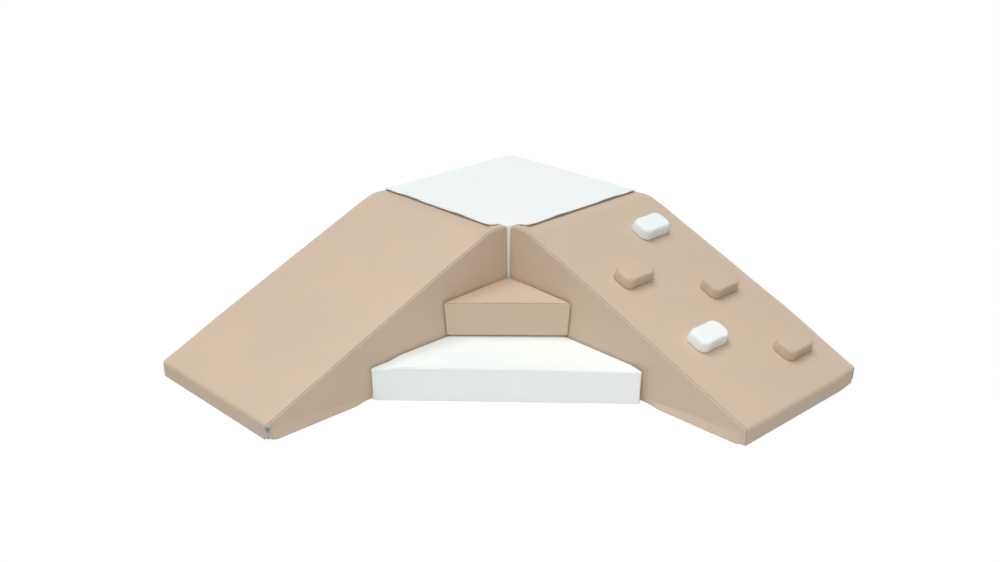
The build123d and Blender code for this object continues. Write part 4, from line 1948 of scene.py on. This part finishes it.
@dataclass
class Hold:
    """A climbing hold: a soft waisted pad, held on the slope by its hook pad."""

    number: int
    tint: Tint
    ramp: Ramp
    width_share: float
    slope_share: float
    length: float = 0.133
    width: float = 0.087
    height: float = 0.039
    corner_radius: float = 0.030
    waist: float = 0.0045
    draft: float = 4.0
    edge_radius: float = 0.008
    hem_radius: float = 0.0045
    wall: float = 0.002
    seat_gap: float = 0.0003
    pad_inset: float = 0.012
    dome: float = 0.0008
    side_swell: float = 0.0012
    side_spacing: float = 0.004
    row_spacing: float = 0.0028
    lid_row_insets: Pair = (0.0092, 0.0105)
    seam: Seam = Seam(0.0004, 0.0006, 0.0002, 0.0017, 0.0013, 0.005)
    seam_softness: float = 2.5
    stitching: Stitching = Stitching(0.0042, 0.0029, 0.00036)

    @property
    def name(self) -> str:
        """The hold's body."""
        return f"hold_{self.number}"

    def wrap(self, inset: float, sewn: bool) -> Skin:
        """The hold's skin on the slope, drawn in by a distance.

        Its long sides bow in by the waist times one less the square of the share along them, and
        every side leans in with height by the draft.

        Args:
            inset: 0 for the cover, more for the filling.
            sewn: Whether it is the cover, open where the hook pad is.

        Returns:
            The skin, in the set's frame.
        """
        half_width, half_length = self.width / 2.0, self.length / 2.0
        corners = np.array([
            (-half_width, -half_length), (half_width, -half_length),
            (half_width, half_length), (-half_width, half_length),
        ])
        stops = [spaced(side, self.side_spacing) for side in (self.width, self.length)] * 2
        outline = Outline(corners, np.full(4, self.corner_radius), stops, arc_steps=12)
        bow = self.waist * (1.0 - (outline.points[:, 1] / half_length) ** 2)
        outline.points[:, 0] -= bow * outline.points[:, 0] / half_width
        section = Section(
            self.seat_gap + inset, self.height - inset, self.edge_radius - inset,
            spaced(self.height, self.row_spacing), np.array(self.lid_row_insets),
            LID_SHARES if sewn else PLAIN_LID_SHARES, SEAM_ROW_SHARES,
            low_edge_radius=self.hem_radius - inset, low_open=self.pad_inset if sewn else None,
        )
        rows = section.rows()
        lean = math.tan(math.radians(self.draft)) * (rows["height"] - self.seat_gap)
        plan = outline.rows(rows["inset"] + inset + lean, rows["reach"], np.zeros(2))
        points = stand_up(plan, rows["height"]).copy()
        share = np.clip(points[..., 2] / self.height, 0.0, 1.0)
        out = 1.0 + self.side_swell * np.sin(math.pi * share) / half_width
        points[..., :2] *= out[..., None]
        spread = (points[..., 0] / half_width) ** 2 + (points[..., 1] / half_length) ** 2
        points[..., 2] += self.dome * share ** 3 * np.clip(1.0 - spread, 0.0, 1.0)
        return Skin(self.on_slope(points), rows, not sewn, True)

    def on_slope(self, points: Array) -> Array:
        """The hold's points, X down the slope, Y across it and Z off it, in the set's frame.

        Args:
            points: The hold's own points.

        Returns:
            The same points in the set's frame.
        """
        ramp = self.ramp
        run, drop = ramp.length - ramp.flat, ramp.height - ramp.toe_height
        slope = math.hypot(run, drop)
        cosine, sine = run / slope, drop / slope
        down = slope * self.slope_share + points[..., 0]
        x = ramp.flat + down * cosine + points[..., 2] * sine
        z = ramp.height - down * sine + points[..., 2] * cosine
        y = ramp.width * self.width_share + points[..., 1]
        return ramp.to_set(np.stack([x, y, z], axis=-1))

    def make(self) -> None:
        """Makes the cover and the foam, and dresses the hook pad."""
        skin = self.wrap(0.0, True)
        columns = skin.points.shape[1]
        none, all_round = np.zeros(columns), np.ones(columns)
        skin.sew(self.seam, none, all_round)
        # The cover darkens by its top seam and along its bottom edge. The bottom edge has no seam, so that
        # dark line is a painted contact shadow where the hold meets the slope.
        distance = np.minimum(
            skin.seam_distance(none, all_round) * self.seam_softness, skin.seam_distance(all_round, none),
        )
        slot = f"{self.tint.name.lower()}_hold"
        cover = skin.build(f"{self.name}_skin", PALETTE.cover(self.tint), distance)
        thicken(cover, self.wall)
        seat_padded(cover, self.name, slot, f"{self.name}_cover")
        path, up = skin.seam_path()
        stitches = self.stitching.along(f"{self.name}_stitches", path, up, PALETTE.thread(self.tint))
        seat(stitches, self.name, slot)
        inner = self.wrap(self.wall + self.seat_gap, False)
        foam = inner.build(f"{self.name}_filling", PALETTE.foam, inner.no_seam())
        seat_padded(foam, self.name, "foam", f"{self.name}_foam")
        finish_cad(f"{self.name}_hook_pad", PALETTE.grip)


@dataclass(frozen=True)
class Lamp:
    """A broad sun: the way its light comes from, its strength and its spread in degrees."""

    name: str
    source: Place
    strength: float
    spread: float

    def hang(self) -> None:
        """Adds the lamp."""
        data = bpy.data.lights.new(self.name, "SUN")
        data.energy = self.strength
        data.angle = math.radians(self.spread)
        lamp = bpy.data.objects.new(self.name, data)
        lamp.rotation_euler = Vector(self.source).to_track_quat("Z", "Y").to_euler()
        bpy.context.scene.collection.objects.link(lamp)


@dataclass(frozen=True)
class SoftBox:
    """A round soft box: its place, what it faces, how wide it is and its power in watts."""

    name: str
    place: Place
    aim: Place
    width: float
    power: float

    def hang(self) -> None:
        """Adds the box, turned to what it faces."""
        data = bpy.data.lights.new(self.name, "AREA")
        data.shape = "DISK"
        data.size = self.width
        data.energy = self.power
        box = bpy.data.objects.new(self.name, data)
        box.location = self.place
        box.rotation_euler = (Vector(self.place) - Vector(self.aim)).to_track_quat("Z", "Y").to_euler()
        bpy.context.scene.collection.objects.link(box)


@dataclass
class Studio:
    """The plain pale floor, soft light and the camera."""

    camera_place: Place = (0.03495, -3.74307, 1.73150)
    azimuth: float = 0.98395
    elevation: float = 22.2756
    roll: float = 0.06036
    lens: float = 43.11
    sensor: float = 36.0
    floor_side: float = 60.0
    ambient: float = 0.18
    floor_glow: float = 0.84
    floor_shade: float = 0.20
    floor_bounce: float = 0.75
    lamps: tuple[Lamp | SoftBox, ...] = (
        Lamp("key", (-0.20, 0.0, 0.98), 1.72, 40.0),
        Lamp("front", (0.0, -0.55, 0.835), 0.84, 40.0),
        SoftBox("front_box", (0.0, -2.2, 1.1), (0.0, -0.4, 0.2), 1.0, 7.7),
    )

    def build(self) -> None:
        """Sets up the whole studio."""
        bpy.context.scene.view_settings.view_transform = "Standard"
        self.place_camera()
        for lamp in self.lamps:
            lamp.hang()
        self.light_world()
        self.lay_floor()

    def place_camera(self) -> None:
        """Turns the camera by the azimuth round the set, the elevation above it and the roll."""
        azimuth, elevation = math.radians(self.azimuth), math.radians(self.elevation)
        roll = math.radians(self.roll)
        level = math.cos(elevation)
        back = Vector((math.sin(azimuth) * level, -math.cos(azimuth) * level, math.sin(elevation)))
        right = (-back).cross(Vector((0.0, 0.0, 1.0))).normalized()
        up = right.cross(-back)
        turned = right * math.cos(roll) + up * math.sin(roll)
        upright = up * math.cos(roll) - right * math.sin(roll)
        data = bpy.data.cameras.new("camera")
        data.sensor_width = self.sensor
        data.lens = self.lens
        camera = bpy.data.objects.new("camera", data)
        axes = Matrix((turned, upright, back)).transposed().to_4x4()
        camera.matrix_world = Matrix.Translation(self.camera_place) @ axes
        bpy.context.scene.collection.objects.link(camera)
        bpy.context.scene.camera = camera

    def seen(self, tree: bpy.types.NodeTree) -> Socket:
        """1 for rays that show the background: the camera's, reflected and passing ones.

        Args:
            tree: The material's or the world's nodes.

        Returns:
            The value's socket.
        """
        path = tree.nodes.new("ShaderNodeLightPath")
        total = path.outputs["Is Camera Ray"]
        for name in ("Is Glossy Ray", "Is Transmission Ray"):
            either = tree.nodes.new("ShaderNodeMath")
            either.operation = "MAXIMUM"
            tree.links.new(total, either.inputs[0])
            tree.links.new(path.outputs[name], either.inputs[1])
            total = either.outputs[0]
        return total

    def light_world(self) -> None:
        """White where it is seen and dim where it lights."""
        world = bpy.data.worlds.new("studio_world")
        world.use_nodes = True
        tree = world.node_tree
        background = tree.nodes["Background"]
        background.inputs["Color"].default_value = (1.0, 1.0, 1.0, 1.0)
        span = tree.nodes.new("ShaderNodeMapRange")
        tree.links.new(self.seen(tree), span.inputs["Value"])
        span.inputs["To Min"].default_value = self.ambient
        span.inputs["To Max"].default_value = 1.0
        tree.links.new(span.outputs["Result"], background.inputs["Strength"])
        bpy.context.scene.world = world

    def lay_floor(self) -> None:
        """A wide plain floor: near white where it is seen, pale where it throws light back."""
        half = self.floor_side / 2.0
        mesh = bpy.data.meshes.new("floor")
        corners = [(-half, -half, 0), (half, -half, 0), (half, half, 0), (-half, half, 0)]
        mesh.from_pydata(corners, [], [(0, 1, 2, 3)])
        floor = bpy.data.objects.new("floor", mesh)
        bpy.context.scene.collection.objects.link(floor)
        material = bpy.data.materials.new("pale_floor")
        material.use_nodes = True
        tree = material.node_tree
        tree.nodes.remove(tree.nodes["Principled BSDF"])
        glow, shade_part, bounce = (tree.nodes.new(kind) for kind in (
            "ShaderNodeEmission", "ShaderNodeBsdfDiffuse", "ShaderNodeBsdfDiffuse",
        ))
        glow.inputs["Color"].default_value = (1.0, 1.0, 1.0, 1.0)
        glow.inputs["Strength"].default_value = self.floor_glow
        shade_part.inputs["Color"].default_value = (self.floor_shade,) * 3 + (1.0,)
        bounce.inputs["Color"].default_value = (self.floor_bounce,) * 3 + (1.0,)
        both, either = tree.nodes.new("ShaderNodeAddShader"), tree.nodes.new("ShaderNodeMixShader")
        tree.links.new(glow.outputs[0], both.inputs[0])
        tree.links.new(shade_part.outputs[0], both.inputs[1])
        tree.links.new(self.seen(tree), either.inputs[0])
        tree.links.new(bounce.outputs[0], either.inputs[1])
        tree.links.new(both.outputs[0], either.inputs[2])
        tree.links.new(either.outputs[0], tree.nodes["Material Output"].inputs["Surface"])
        mesh.materials.append(material)


HOLD_PLACES = (
    (Tint.WHITE, 0.738, 0.162),
    (Tint.BEIGE, 0.304, 0.327),
    (Tint.BEIGE, 0.740, 0.499),
    (Tint.WHITE, 0.320, 0.664),
    (Tint.BEIGE, 0.749, 0.831),
)


def main() -> None:
    """Builds the set from the back to the front, then the studio."""
    logging.basicConfig(level=logging.INFO, format="%(name)s %(message)s")
    Platform("platform", Tint.WHITE).make()
    for side in Side:
        Flap(side).make()
        finish_cad(f"{side.flap}_hook_strip", PALETTE.grip)
        finish_cad(f"{side.value}_loop_strip", PALETTE.grip)
    ramps = {
        Side.SLIDE: Ramp(name=Side.SLIDE.value, tint=Tint.BEIGE),
        Side.CLIMB: Ramp(
            name=Side.CLIMB.value, tint=Tint.BEIGE, side=Side.CLIMB, outer_push=0.015,
            toe_turn=0.007, phase=1.9,
        ),
    }
    for ramp in ramps.values():
        ramp.make()
    for number, (tint, width_share, slope_share) in enumerate(HOLD_PLACES, start=1):
        Hold(number, tint, ramps[Side.CLIMB], width_share, slope_share).make()
    finish_cad("climb_hold_loop_pads", PALETTE.grip)
    Step(
        name="lower_step", tint=Tint.WHITE, height=0.115, hem_radius=0.003,
        seam_softness=2.5, tip_draws=(0.0, 0.016),
    ).make()
    Step(
        name="upper_step", tint=Tint.BEIGE, base=0.118, height=0.118, hem_radius=0.009,
        reach=0.184, tip_radius=0.004, tuck=0.004, push=0.003, skew=-0.002, apex_rise=0.009,
        droops=(0.0, 0.0),
    ).make()
    for node in ("lower_step_loop_pads", "upper_step_hook_pads"):
        finish_cad(node, PALETTE.grip)
    Studio().build()


if __name__ == "__main__":
    main()
